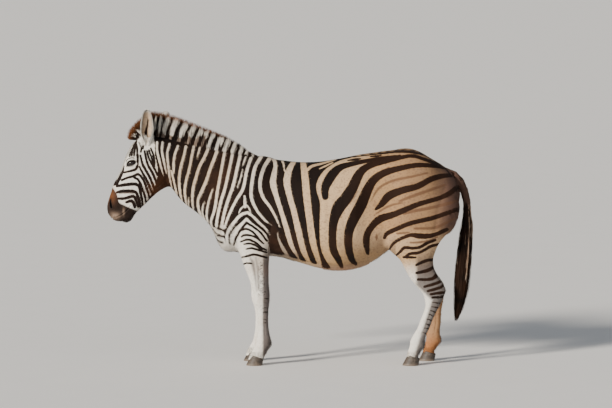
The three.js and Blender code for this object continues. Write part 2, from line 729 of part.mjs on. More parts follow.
const bodyNode = (field, sections, more) => tube(field, sections, { sides: BODY_SIDES, ...more });
const headFlesh = bodyNode(flesh, HEAD_SECTIONS, { furthest: HEAD_REACH, joinFirst: true });
const neckFlesh = bodyNode(flesh, NECK_SECTIONS, { furthest: NECK_REACH, joinFirst: true, joinLast: true });
const trunkFlesh = bodyNode(trunkField, TRUNK_SECTIONS, { joinLast: true });
const fleshAround = [
  bodyNode(flesh, [...NECK_SECTIONS, ...HEAD_SECTIONS.slice(1)], { furthest: NECK_REACH }),
  bodyNode(trunkField, [...TRUNK_SECTIONS, ...NECK_SECTIONS.slice(1, 3)], {}),
].map((solid) => grown(solid, REST_GAP));
const rooted = (solid) => largest(fleshAround.reduce((left, body) => left.subtract(body), solid));

const sockets = [-1, 1].map((sign) => eyeSphere(sign, EYE.radius + GAP));
add("head", largest(sockets.reduce((left, socket) => left.subtract(socket), headFlesh)), "coat");
add("neck", neckFlesh, "coat");
const legRegion = (cut, x) =>
  solidOf(new THREE.BoxGeometry(560, 700, 400).translate(x, 0, 640)).intersect(side(cut.at, cut.towards, -HALF_GAP));
add("trunk", largest(trunkFlesh.subtract(legRegion(FORE_CUT, -240)).subtract(legRegion(HIND_CUT, 800))), "coat");

for (const leg of LEGS) {
  const legTube = (sections, joins) =>
    tube(flesh, sections.map(([x, z, ...rest]) => [x + leg.step * stepShare(z, leg.heights), z, ...rest]), {
      sides: LEG_SIDES,
      middleY: ([, z]) => leg.sign * stationAt(leg.table.stations, z)[7],
      furthest: 300,
      ...joins,
    });
  const lower = legTube(leg.lower, { joinFirst: true });
  add(`${leg.name}_upper_leg`, legTube(leg.upper, { joinFirst: true, joinLast: true }), "coat");
  add(`${leg.name}_lower_leg`, largest(within(lower, [hoofTop(leg.hoofX + leg.step)])), "coat");
  add(`${leg.name}_hoof`, hoofSolid(leg), "hoof");
}

EARS.forEach((ear) => add(ear.name, rooted(earSolid(ear)), "coat"));
[["eye_left", -1], ["eye_right", 1]].forEach(([name, sign]) => add(name, eyeSphere(sign, EYE.radius), "eye"));
const partAt = { at: [-880, 0, 1440], towards: [-0.97, 0, -0.245] };
add("forelock", rooted(within(standingHair(FORELOCK), [partAt])), "mane");
add("mane", rooted(within(standingHair(MANE), [opposite(partAt)])), "mane");
add("tail_dock", rooted(hangingTube(DOCK, 12, 12)), "coat");
add("tail_tassel", hangingTube(TASSEL, 12, 12).intersect(side([0, 0, 957], [0, 0, -1])), "hair");
export default zebra;
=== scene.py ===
# The looks of a life-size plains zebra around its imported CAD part: one skin with folds and lids, its coat and
# mane in solid tufts, eyes, ears, hooves and tail, on a plain pale floor in soft studio light.
# The shape's own numbers are in millimetres, as in the part's source, and become metres where a mesh is made.
# Markings are given in centimetres on an upright plate beside the animal's left flank, as the camera sees it.
import math

import bpy
import numpy as np
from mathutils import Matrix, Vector


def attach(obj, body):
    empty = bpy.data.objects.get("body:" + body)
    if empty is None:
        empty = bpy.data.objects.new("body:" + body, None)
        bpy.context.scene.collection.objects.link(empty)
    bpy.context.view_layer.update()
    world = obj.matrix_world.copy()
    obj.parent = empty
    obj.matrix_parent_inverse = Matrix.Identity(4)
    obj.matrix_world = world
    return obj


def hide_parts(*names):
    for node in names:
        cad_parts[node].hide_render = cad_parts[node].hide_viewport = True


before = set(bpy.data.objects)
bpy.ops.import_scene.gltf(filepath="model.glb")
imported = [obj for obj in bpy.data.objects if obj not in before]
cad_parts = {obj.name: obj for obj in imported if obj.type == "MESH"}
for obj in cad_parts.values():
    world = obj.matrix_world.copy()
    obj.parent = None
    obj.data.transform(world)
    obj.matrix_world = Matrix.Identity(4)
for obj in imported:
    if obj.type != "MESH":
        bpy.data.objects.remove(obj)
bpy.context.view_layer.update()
MM = 0.001
rng = np.random.default_rng(7)

# ---------- Camera, floor and light ----------
VIEW_TARGET = np.array([100.0, -200.0, 1025.0])  # mm, the middle of the picture
VIEW_DISTANCE = 21000.0
VIEW_ELEVATION = math.radians(4.5)
VIEW_WIDTH = 3825.0  # mm across the picture at the target
CAM_UP = np.array([0, math.sin(VIEW_ELEVATION), math.cos(VIEW_ELEVATION)])
CAM_FORWARD = np.array([0, math.cos(VIEW_ELEVATION), -math.sin(VIEW_ELEVATION)])
CAM_AT = VIEW_TARGET - VIEW_DISTANCE * CAM_FORWARD


def make_camera():
    data = bpy.data.cameras.new("camera")
    data.angle = 2 * math.atan(VIEW_WIDTH / 2 / VIEW_DISTANCE)
    data.clip_end = 1000
    camera = bpy.data.objects.new("camera", data)
    bpy.context.scene.collection.objects.link(camera)
    camera.location = CAM_AT * MM
    camera.rotation_euler = (math.pi / 2 - VIEW_ELEVATION, 0, 0)
    bpy.context.scene.camera = camera


def plate(p):
    """Where points (mm) fall on the marking plate, in cm: along from the middle, and up."""
    q = p.copy()
    q[:, 1] = -np.abs(q[:, 1])
    r = q - CAM_AT
    depth = r @ CAM_FORWARD
    scale = VIEW_DISTANCE / 10 / depth
    return VIEW_TARGET[0] / 10 + r[:, 0] * scale, VIEW_TARGET[2] / 10 + (r @ CAM_UP) * scale


# ---------- The flesh, as in the part ----------
# A station: along, upper edge, lower edge, half width, level of the widest place, roundness of the upper and
# of the lower half, and the sideways offset.
TRUNK = dict(origin=(0, 0), along=(1, 0), upper=(0, 1), caps=(45, 48), stations=[
    (-458, 915, 790, 95, 0.45, 2, 2, 0),
    (-412, 975, 747, 138, 0.43, 1.9, 2.1, 0),
    (-362, 1070, 717, 164, 0.42, 1.9, 2.1, 0),
    (-300, 1175, 700, 182, 0.42, 1.8, 2.1, 0),
    (-237, 1262, 690, 194, 0.42, 1.7, 2.2, 0),
    (-175, 1303, 684, 202, 0.42, 1.65, 2.3, 0),
    (-62, 1290, 674, 218, 0.42, 1.75, 2.3, 0),
    (62, 1277, 637, 242, 0.44, 1.95, 2.2, 0),
    (187, 1280, 602, 263, 0.46, 2.1, 2.1, 0),
    (312, 1299, 590, 271, 0.47, 2.15, 2.1, 0),
    (437, 1324, 609, 266, 0.5, 2.15, 2.1, 0),
    (531, 1338, 652, 252, 0.52, 2.15, 2.1, 0),
    (625, 1350, 718, 238, 0.54, 2.15, 2.1, 0),
    (700, 1352, 762, 232, 0.54, 2.15, 2, 0),
    (781, 1339, 786, 226, 0.52, 2.1, 2, 0),
    (875, 1304, 815, 208, 0.5, 2.1, 2, 0),
    (956, 1260, 865, 172, 0.5, 2.1, 2, 0),
    (1012, 1212, 930, 132, 0.5, 2.1, 2, 0),
    (1068, 1150, 1000, 95, 0.5, 2.1, 2, 0),
])
NECK = dict(origin=(-281, 1102), along=(-0.875, 0.484), upper=(0.484, 0.875), caps=(90, 60), stations=[
    (-130, 215, -330, 150, 0.45, 1.7, 2.1, 0),
    (0, 218, -340, 150, 0.45, 1.7, 2.1, 0),
    (70, 200, -312, 137, 0.44, 1.7, 2.1, 0),
    (187, 163, -282, 111, 0.42, 1.7, 2.1, 0),
    (312, 125, -262, 90, 0.42, 1.75, 2.1, 0),
    (437, 86, -208, 77, 0.44, 1.8, 2.1, 0),
    (562, 54, -152, 71, 0.46, 1.9, 2.1, 0),
    (675, 22, -105, 62, 0.5, 2, 2, 0),
])
HEAD = dict(origin=(-875, 1415), along=(-0.418, -0.909), upper=(-0.909, 0.418), caps=(34, 40), stations=[
    (-34, 56, -110, 60, 0.6, 2.2, 2, 0),
    (0, 66, -120, 64, 0.6, 2.2, 2, 0),
    (31, 80, -142, 70, 0.62, 2.3, 2, 0),
    (69, 98, -175, 78, 0.64, 2.5, 2, 0),
    (119, 104, -206, 88, 0.68, 2.6, 1.9, 0),
    (169, 105, -220, 93, 0.7, 2.5, 1.8, 0),
    (225, 99, -214, 86, 0.68, 2.2, 1.8, 0),
    (269, 98, -186, 73, 0.64, 2.1, 1.9, 0),
    (312, 100, -163, 63, 0.6, 2, 1.9, 0),
    (350, 101, -147, 56, 0.56, 2, 2, 0),
    (387, 97, -134, 52, 0.54, 2.1, 2, 0),
    (419, 93, -121, 51, 0.54, 2.2, 2.1, 0),
    (456, 89, -106, 54, 0.56, 2.3, 2.2, 0),
    (487, 83, -96, 56, 0.56, 2.4, 2.2, 0),
    (520, 70, -84, 54, 0.56, 2.4, 2.2, 0),
    (556, 50, -58, 46, 0.54, 2.2, 2.2, 0),
])
# The far leg of a pair stands far_step from the near one: not at all above the first of step_heights, and
# wholly below the second.
FORELEG = dict(caps=(10, 90), far_step=-20, step_heights=(650, 440), stations=[
    (28, -168, -268, 34, 0.5, 2.1, 2.1, 116),
    (62, -160, -254, 33, 0.5, 2.1, 2.1, 116),
    (100, -143, -235, 30, 0.5, 2.1, 2.1, 116),
    (130, -122, -219, 33, 0.5, 2.1, 2.1, 116),
    (160, -119, -212, 34, 0.5, 2.1, 2.1, 116),
    (194, -127, -206, 29, 0.5, 2.1, 2.2, 116),
    (240, -134, -203, 25, 0.45, 2, 2.2, 117),
    (300, -136, -203, 26, 0.45, 2, 2.2, 119),
    (350, -134, -212, 30, 0.45, 2, 2.2, 120),
    (387, -130, -225, 37, 0.45, 2, 2.3, 121),
    (419, -127, -229, 41, 0.45, 2, 2.3, 122),
    (456, -127, -231, 40, 0.45, 2, 2.3, 123),
    (500, -131, -242, 41, 0.45, 2, 2.2, 125),
    (550, -132, -260, 45, 0.45, 2, 2.1, 127),
    (600, -132, -279, 50, 0.45, 2, 2.1, 129),
    (644, -131, -297, 55, 0.45, 2, 2.1, 131),
    (700, -131, -314, 60, 0.45, 2, 2, 134),
    (770, -138, -330, 66, 0.45, 2, 2, 134),
    (850, -160, -338, 70, 0.45, 2, 2, 130),
    (930, -185, -330, 66, 0.45, 2, 2, 120),
])
HINDLEG = dict(caps=(10, 120), far_step=110, step_heights=(470, 150), stations=[
    (28, 815, 725, 34, 0.5, 2.1, 2.1, 121),
    (62, 808, 735, 32, 0.5, 2.1, 2.1, 121),
    (94, 821, 743, 30, 0.5, 2.1, 2.1, 121),
    (125, 846, 752, 34, 0.5, 2.1, 2.1, 121),
    (156, 848, 756, 35, 0.5, 2.1, 2.1, 121),
    (194, 858, 775, 30, 0.5, 2.1, 2.2, 121),
    (237, 878, 800, 27, 0.45, 2, 2.2, 121),
    (287, 897, 819, 28, 0.45, 2, 2.2, 121),
    (337, 919, 839, 30, 0.42, 2, 2.2, 121),
    (375, 940, 849, 34, 0.4, 1.9, 2.2, 121),
    (412, 957, 846, 40, 0.38, 1.8, 2.2, 122),
    (450, 973, 834, 43, 0.36, 1.7, 2.2, 123),
    (480, 980, 812, 42, 0.34, 1.6, 2.2, 124),
    (519, 960, 777, 43, 0.36, 1.6, 2.1, 125),
    (562, 930, 746, 47, 0.38, 1.7, 2.1, 127),
    (612, 908, 719, 54, 0.4, 1.8, 2.1, 130),
    (662, 901, 692, 63, 0.42, 1.9, 2, 134),
    (706, 909, 655, 74, 0.44, 2, 2, 138),
    (769, 936, 621, 88, 0.46, 2, 2, 140),
    (831, 980, 606, 98, 0.48, 2, 2, 138),
    (894, 1020, 612, 104, 0.48, 2, 2, 133),
    (956, 1044, 628, 106, 0.48, 2, 2, 124),
    (1019, 1056, 655, 103, 0.48, 2, 2, 112),
    (1112, 1050, 700, 92, 0.48, 2, 2, 95),
])
LEGS = {"fore": FORELEG, "hind": HINDLEG}
# Muscles: middle, radii, tilt in degrees, softness.
MUSCLES = [
    ((-292, 108, 1080), (118, 72, 205), 26, 80),
    ((-232, 132, 862), (100, 66, 130), 10, 70),
    ((-378, 90, 868), (72, 72, 105), 15, 60),
    ((-396, 48, 800), (58, 58, 80), 0, 50),
    ((618, 170, 1226), (75, 44, 52), 0, 60),
    ((780, 112, 1172), (185, 110, 140), 60, 80),
    ((745, 142, 935), (150, 96, 190), -12, 80),
    ((972, 88, 1010), (76, 78, 180), -4, 60),
    ((668, 155, 795), (46, 54, 66), 10, 55),
]
HEAD_MUSCLES = [
    ((200, -92, 50), (92, 88, 34), 30),
    ((150, 50, 66), (52, 40, 32), 22),
    ((470, 42, 30), (50, 36, 30), 20),
    ((498, -66, 0), (44, 30, 34), 20),
]
HOLLOWS = [((560, 278, 1050), (92, 44, 165), 12, 90)]
EYE = dict(along=180, upper=50, side=76, radius=24)
FAR = 900.0  # a value for points too far from a piece to matter
MUSCLE_REACH = 140  # and how far along from a muscle it stops mattering
COAT_DEPTH = 3.0  # the skin lies this far inside the part's outline
THIN_COAT = 1.2  # and this much less on the face and the legs
TAIL_BLEND = 16  # the softness of the join between the rump and the tail's root


def smooth_min(a, b, k):
    h = np.maximum(k - np.abs(a - b), 0) / k
    return np.minimum(a, b) - h * h * k / 4


def smooth_max(a, b, k):
    return -smooth_min(-a, -b, k)


def step(x, low, high):
    t = np.clip((x - low) / (high - low), 0, 1)
    return t * t * (3 - 2 * t)


def station_at(stations, t):
    s = np.asarray(stations, float)
    last = len(s) - 1
    i = np.clip(np.searchsorted(s[:, 0], t) - 1, 0, last - 1)
    n = np.arange(last)
    a, b = s[n], s[n + 1]
    before, after = s[np.maximum(n - 1, 0)], s[np.minimum(n + 2, last)]
    span = (b[:, :1] - a[:, :1])
    rise = (b - a)[:, 1:]
    slope_a = (b - before)[:, 1:] / (b - before)[:, :1] * span
    slope_b = (after - a)[:, 1:] / (after - a)[:, :1] * span
    u = np.clip((t - a[i, 0]) / span[i, 0], 0, 1)[:, None]
    curve = u * (1 - u) * ((slope_a - rise)[i] * (1 - u) + (rise - slope_b)[i] * u)
    return (a[i, 1:] + rise[i] * u + curve).T


def tube_distance(tube, t, u, v):
    s = tube["stations"]
    first, end = s[0][0], s[-1][0]
    out = np.full(t.shape, FAR)
    reach = 120
    edge = max(max(abs(r[1]), abs(r[2])) for r in s) + reach
    near = (t > first - reach) & (t < end + reach) & (np.abs(u) < edge)
    near &= np.abs(v) < max(r[3] + r[7] for r in s) + reach
    t, u, v = t[near], u[near], v[near]
    beyond = np.maximum(np.maximum(first - t, t - end), 0)
    top, bottom, width, level, round_top, round_bottom, aside = station_at(s, np.clip(t, first, end))
    middle = bottom + (top - bottom) * level
    du, dv = u - middle, np.abs(v - aside)
    upper = du > 0
    radius = np.where(upper, top - middle, middle - bottom)
    power = np.where(upper, round_top, round_bottom)
    off = np.hypot(du, dv)
    share = ((np.abs(du) / radius) ** power + (dv / width) ** power) ** (1 / power)
    caps = tube["caps"]

    def cap(x):
        return np.sqrt(np.maximum(1 - (1 - np.clip(x, 0, 1)) ** 2, 0))

    shrink = np.where(beyond > 0, 0, cap((t - first) / caps[0]) * cap((end - t) / caps[1]))
    size = np.where(share > 1e-6, off / np.maximum(share, 1e-6), np.minimum(radius, width))
    d = off - size * shrink
    out[near] = np.hypot(np.maximum(d, 0), beyond) + np.minimum(d, 0)
    return out


def in_frame(part, x, z):
    dx, dz = x - part["origin"][0], z - part["origin"][1]
    return (dx * part["along"][0] + dz * part["along"][1], dx * part["upper"][0] + dz * part["upper"][1])


def from_frame(part, t, u):
    o, a, b = part["origin"], part["along"], part["upper"]
    return o[0] + t * a[0] + u * b[0], o[1] + t * a[1] + u * b[1]


def ellipsoid_distance(dx, dy, dz, size):
    a, b, c = size
    near = np.sqrt((dx / a) ** 2 + (dy / b) ** 2 + (dz / c) ** 2)
    slope = np.sqrt((dx / a**2) ** 2 + (dy / b**2) ** 2 + (dz / c**2) ** 2)
    return np.where(slope < 1e-9, -min(size), near * (near - 1) / np.maximum(slope, 1e-9))


def muscle_distance(muscle, x, y, z):
    at, size, tilt, _ = muscle
    turn = math.radians(tilt)
    dx, dz = x - at[0], z - at[2]
    across = dx * math.cos(turn) - dz * math.sin(turn)
    upright = dx * math.sin(turn) + dz * math.cos(turn)
    return ellipsoid_distance(across, np.abs(y) - at[1], upright, size)


def far_shift(leg, y, z):
    """How far forward or back of its pair the leg on the far side stands, at each height."""
    high, low = leg["step_heights"]
    return np.where(y > 0, leg["far_step"] * np.clip((high - z) / (high - low), 0, 1), 0)


def leg_distance(leg, x, y, z):
    return tube_distance(leg, z, x - far_shift(leg, y, z), np.abs(y))


def head_distance(x, y, z):
    t, u = in_frame(HEAD, x, z)
    d = tube_distance(HEAD, t, u, y)
    for at, size, soft in HEAD_MUSCLES:
        d = smooth_min(d, ellipsoid_distance(t - at[0], u - at[1], np.abs(y) - at[2], size), soft)
    return d


def flesh(p):
    """Signed distance outside the flesh, in mm."""
    x, y, z = p.T
    d = tube_distance(TRUNK, x, z, y)
    for m in MUSCLES:
        near = (z > 600) & (np.abs(x - m[0][0]) < max(m[1]) + MUSCLE_REACH)
        d[near] = smooth_min(d[near], muscle_distance(m, x[near], y[near], z[near]), m[3])
    for m in HOLLOWS:
        near = np.abs(x - m[0][0]) < max(m[1]) + MUSCLE_REACH
        d[near] = smooth_max(d[near], -muscle_distance(m, x[near], y[near], z[near]), m[3])
    for where, soft, of in (
        (x < -60, 50, lambda x, y, z: leg_distance(FORELEG, x, y, z)),
        (x > 480, 60, lambda x, y, z: leg_distance(HINDLEG, x, y, z)),
        (x < -40, 70, lambda x, y, z: tube_distance(NECK, *in_frame(NECK, x, z), y)),
        (x < -680, 45, head_distance),
    ):
        d[where] = smooth_min(d[where], of(x[where], y[where], z[where]), soft)
    return d


# The tail's fleshy root: along, up and radius at each joint of its chain.
DOCK = [
    (985, 1205, 34), (1030, 1188, 34), (1068, 1150, 31), (1096, 1098, 27), (1112, 1036, 25), (1117, 960, 18),
]


def dock_distance(x, y, z):
    d = np.full(x.shape, FAR)
    for (x0, z0, r0), (x1, z1, r1) in zip(DOCK, DOCK[1:]):
        dx, dz = x1 - x0, z1 - z0
        t = np.clip(((x - x0) * dx + (z - z0) * dz) / (dx * dx + dz * dz), 0, 1)
        off = np.sqrt((x - x0 - t * dx) ** 2 + y**2 + (z - z0 - t * dz) ** 2)
        d = np.minimum(d, off - r0 - (r1 - r0) * t)
    return d


def skin_field(p):
    """Signed distance outside the skin, in mm."""
    x, y, z = p.T
    head, _ = in_frame(HEAD, x, z)
    thin = np.maximum((x < -760) * step(head, 0, 120), step(-z, -700, -560))
    d = flesh(p)
    rear = x > 900
    d[rear] = smooth_min(d[rear], dock_distance(x[rear], y[rear], z[rear]), TAIL_BLEND)
    return d + COAT_DEPTH - THIN_COAT * thin


def gradient(field, p, h=1.5):
    g = np.empty_like(p)
    for k in range(3):
        d = np.zeros(3)
        d[k] = h
        g[:, k] = (field(p + d) - field(p - d)) / (2 * h)
    return g


def settle(p, rounds=2):
    """Moves points onto the skin and gives their normals."""
    for _ in range(rounds):
        g = gradient(skin_field, p)
        f = skin_field(p)
        p = p - (np.clip(f, -6, 6) / np.maximum((g * g).sum(1), 0.2))[:, None] * g
    g = gradient(skin_field, p)
    return p, g / np.maximum(np.linalg.norm(g, axis=1), 1e-6)[:, None]


# ---------- The skin's mesh ----------
CELL = 8.4  # mm
COARSE = 4  # fine cells along each side of a coarse one
NEAR_SKIN = 42  # mm: a coarse cell that lies wholly further out or in than this isn't looked into
SKIN_BOX = np.array([[-1190, -300, 20], [1165, 300, 1480]], float)


def corners_of(grid, count):
    """A grid's values at each of the eight corners of its cells."""
    found = []
    for i in (0, 1):
        for j in (0, 1):
            for k in (0, 1):
                found.append(grid[i : i + count[0], j : j + count[1], k : k + count[2]])
    return found


def fine_grid():
    """The skin's field on a fine grid, worked out near the surface only and filled in elsewhere."""
    count = np.ceil((SKIN_BOX[1] - SKIN_BOX[0]) / (CELL * COARSE)).astype(int)
    axes = [SKIN_BOX[0][k] + CELL * COARSE * np.arange(count[k] + 1) for k in range(3)]
    coarse = np.stack(np.meshgrid(*axes, indexing="ij"), -1).reshape(-1, 3)
    value = skin_field(coarse).reshape(count + 1)
    corners = corners_of(value, count)
    near = (np.minimum.reduce(corners) < NEAR_SKIN) & (np.maximum.reduce(corners) > -NEAR_SKIN)
    mask = np.zeros(count * COARSE + 1, bool)
    for i, j, k in np.argwhere(near) * COARSE:
        mask[i : i + COARSE + 1, j : j + COARSE + 1, k : k + COARSE + 1] = True
    field = value[:-1, :-1, :-1]
    for axis in range(3):
        field = np.repeat(field, COARSE, axis)
    field = np.pad(field, [(0, 1)] * 3, mode="edge")
    field = np.where(field < 0, -FAR, FAR)
    field[mask] = skin_field(SKIN_BOX[0] + CELL * np.argwhere(mask))
    return field


def cell_mesh():
    """A closed net of quads round the skin: one point in each cell that the surface crosses."""
    field = fine_grid()
    sign = field < 0
    total = np.zeros(np.array(field.shape) - 1, np.int8)
    for corner in corners_of(sign, total.shape):
        total += corner
    cells = np.argwhere((total > 0) & (total < 8))
    index = np.full(total.shape, -1, np.int64)
    index[tuple(cells.T)] = np.arange(len(cells))
    points = np.zeros((len(cells), 3))
    weight = np.zeros(len(cells))
    quads = []
    for axis in range(3):
        one = np.eye(3, dtype=int)[axis]
        here = sign[tuple(slice(0, n - o) for n, o in zip(field.shape, one))]
        there = sign[tuple(slice(o, n) for n, o in zip(field.shape, one))]
        cross = np.argwhere(here != there)
        before = field[tuple(cross.T)]
        after = field[tuple((cross + one).T)]
        spot = SKIN_BOX[0] + CELL * (cross + one * (before / (before - after))[:, None])
        u, v = (axis + 1) % 3, (axis + 2) % 3
        ring = []
        for du, dv in ((0, 0), (-1, 0), (-1, -1), (0, -1)):
            cell = cross.copy()
            cell[:, u] += du
            cell[:, v] += dv
            ids = index[tuple(cell.T)]
            np.add.at(points, ids, spot)
            np.add.at(weight, ids, 1)
            ring.append(ids)
        ring = np.stack(ring, 1)
        flip = before > 0
        ring[flip] = ring[flip][:, ::-1]
        quads.append(ring)
    return points / weight[:, None], np.concatenate(quads)


def refine(points, faces, chosen):
    """Splits the chosen faces in four; their neighbours take the new points into their sides."""
    middles = {}
    added = []
    first_new = len(points)

    def make_middle(a, b):
        key = (min(a, b), max(a, b))
        if key not in middles:
            middles[key] = first_new + len(added)
            added.append((points[a] + points[b]) / 2)
        return middles[key]

    for face, pick in zip(faces, chosen):
        if pick:
            for a, b in zip(face, face[1:] + face[:1]):
                make_middle(a, b)
    result = []
    for face, pick in zip(faces, chosen):
        sides = list(zip(face, face[1:] + face[:1]))
        if pick:
            centre = first_new + len(added)
            added.append(sum(points[a] for a in face) / len(face))
            mids = [make_middle(a, b) for a, b in sides]
            for j, corner in enumerate(face):
                result.append([corner, mids[j], centre, mids[j - 1]])
        else:
            ring = []
            for a, b in sides:
                ring.append(a)
                found = middles.get((min(a, b), max(a, b)))
                if found is not None:
                    ring.append(found)
            result.append(ring)
    return np.vstack([points, np.array(added).reshape(-1, 3)]), result


def centres(points, faces):
    return np.array([points[f].sum(0) / len(f) for f in faces])


def relax(points, faces, rounds):
    """Moves each point halfway to the middle of its neighbours, as many times as there are rounds."""
    a, b = [], []
    for f in faces:
        a.extend(f)
        b.extend(f[1:] + f[:1])
    a, b = np.array(a), np.array(b)
    for _ in range(rounds):
        total = np.zeros_like(points)
        count = np.zeros(len(points))
        for here, there in ((a, b), (b, a)):
            np.add.at(total, here, points[there])
            np.add.at(count, here, 1)
        points = points + 0.5 * (total / np.maximum(count, 1)[:, None] - points)
    return points


EYE_X, EYE_Z = from_frame(HEAD, EYE["along"], EYE["upper"])
EYE_AT = np.array([EYE_X, EYE["side"], EYE_Z])


def small_faces(c):
    """Where the skin needs small faces: the head, shoulder, thigh and legs."""
    head, _ = in_frame(HEAD, c[:, 0], c[:, 2])
    on_head = (c[:, 0] < -700) & (head > -40) & (c[:, 0] + 0.6 * (c[:, 2] - 1250) < -760)
    shoulder = (c[:, 0] > -470) & (c[:, 0] < -90) & (c[:, 2] < 1090)
    thigh = (c[:, 0] > 600) & (c[:, 2] < 930)
    leg = c[:, 2] < 560
    return on_head | shoulder | thigh | leg


def smallest_faces(c):
    """And the smallest: round the eyes and on the nose."""
    head, upper = in_frame(HEAD, c[:, 0], c[:, 2])
    mirrored = np.stack([c[:, 0], np.abs(c[:, 1]), c[:, 2]], 1)
    near_eye = np.linalg.norm(mirrored - EYE_AT, axis=1) < 52
    near_nose = (c[:, 0] < -900) & (head > 425) & (upper > -75)
    return near_eye | near_nose


def skin_mesh():
    points, quads = cell_mesh()
    faces = quads.tolist()
    points, _ = settle(points)
    points = relax(points, faces, 2)
    points, _ = settle(points, 1)
    points, faces = refine(points, faces, small_faces(centres(points, faces)))
    points, _ = settle(points, 1)
    points, faces = refine(points, faces, smallest_faces(centres(points, faces)))
    points = relax(points, faces, 1)
    points, normals = settle(points, 1)
    return points, normals, faces


# ---------- Lines and areas of the marking plate ----------
def stripes(text):
    """Smooth lines from a text: rows of along, up, width in cm, one line up to each semicolon."""
    found = []
    for row in text.split(";"):
        width, points = 1.0, []
        for word in row.split():
            numbers = [float(n) for n in word.split(",")]
            width = numbers[2] if len(numbers) > 2 else width
            points.append((numbers[0], numbers[1], width))
        found.append(rounded(np.array(points)))
    return found


def rounded(line, steps=4):
    """The line with a smooth curve through its points."""
    padded = np.vstack([2 * line[0] - line[1], line, 2 * line[-1] - line[-2]])
    t = np.linspace(0, 1, steps, endpoint=False)[:, None]
    parts = []
    for a, b, c, d in zip(padded, padded[1:], padded[2:], padded[3:]):
        bend = (2 * a - 5 * b + 4 * c - d) * t**2 + (3 * b - a - 3 * c + d) * t**3
        parts.append(0.5 * (2 * b + (c - a) * t + bend))
    out = np.vstack(parts + [line[-1:]])
    out[:, 2] = np.maximum(out[:, 2], 0.1)
    return out


def line_reach(x, z, line, margin=2.5):
    """How far inside a stripe each point lies, in cm, or minus the margin where it isn't near."""
    out = np.full(x.shape, -margin)
    low, high = line.min(0), line.max(0)
    grow = margin + high[2] / 2
    beside = (x > low[0] - grow) & (x < high[0] + grow)
    level = (z > low[1] - grow) & (z < high[1] + grow)
    near = np.flatnonzero(beside & level)
    if not len(near):
        return out
    px, pz = x[near], z[near]
    best = np.full(len(near), -margin)
    for a, b in zip(line, line[1:]):
        dx, dz = b[0] - a[0], b[1] - a[1]
        t = np.clip(((px - a[0]) * dx + (pz - a[1]) * dz) / max(dx * dx + dz * dz, 1e-9), 0, 1)
        reach = (a[2] + (b[2] - a[2]) * t) / 2 - np.hypot(px - a[0] - t * dx, pz - a[1] - t * dz)
        best = np.maximum(best, reach)
    out[near] = best
    return out


def most(x, z, lines, margin=2.5):
    out = np.full(x.shape, -margin)
    for line in lines:
        out = np.maximum(out, line_reach(x, z, line, margin))
    return out


def polygon_reach(x, z, corners):
    """Signed distance into a polygon, in cm, positive inside."""
    c = np.array(corners, float)
    best = np.full(x.shape, 1e3)
    inside = np.zeros(x.shape, bool)
    for (ax, az), (bx, bz) in zip(c, np.roll(c, -1, 0)):
        dx, dz = bx - ax, bz - az
        t = np.clip(((x - ax) * dx + (z - az) * dz) / max(dx * dx + dz * dz, 1e-9), 0, 1)
        best = np.minimum(best, np.hypot(x - ax - t * dx, z - az - t * dz))
        crosses = (az > z) != (bz > z)
        with np.errstate(divide="ignore", invalid="ignore"):
            at = ax + (z - az) / (bz - az) * dx
        inside ^= crosses & (x < at)
    return np.where(inside, best, -best)


def path_distance(a, b, points):
    best = np.full(a.shape, 1e3)
    for p, q in zip(points, points[1:]):
        da, db = q[0] - p[0], q[1] - p[1]
        t = np.clip(((a - p[0]) * da + (b - p[1]) * db) / (da * da + db * db), 0, 1)
        wide = p[2] + (q[2] - p[2]) * t if len(p) > 2 else 0
        best = np.minimum(best, np.hypot(a - p[0] - t * da, b - p[1] - t * db) - wide)
    return best


def soft_blob(x, z, cx, cz, rx, rz):
    return np.exp(-(((x - cx) / rx) ** 2 + ((z - cz) / rz) ** 2))

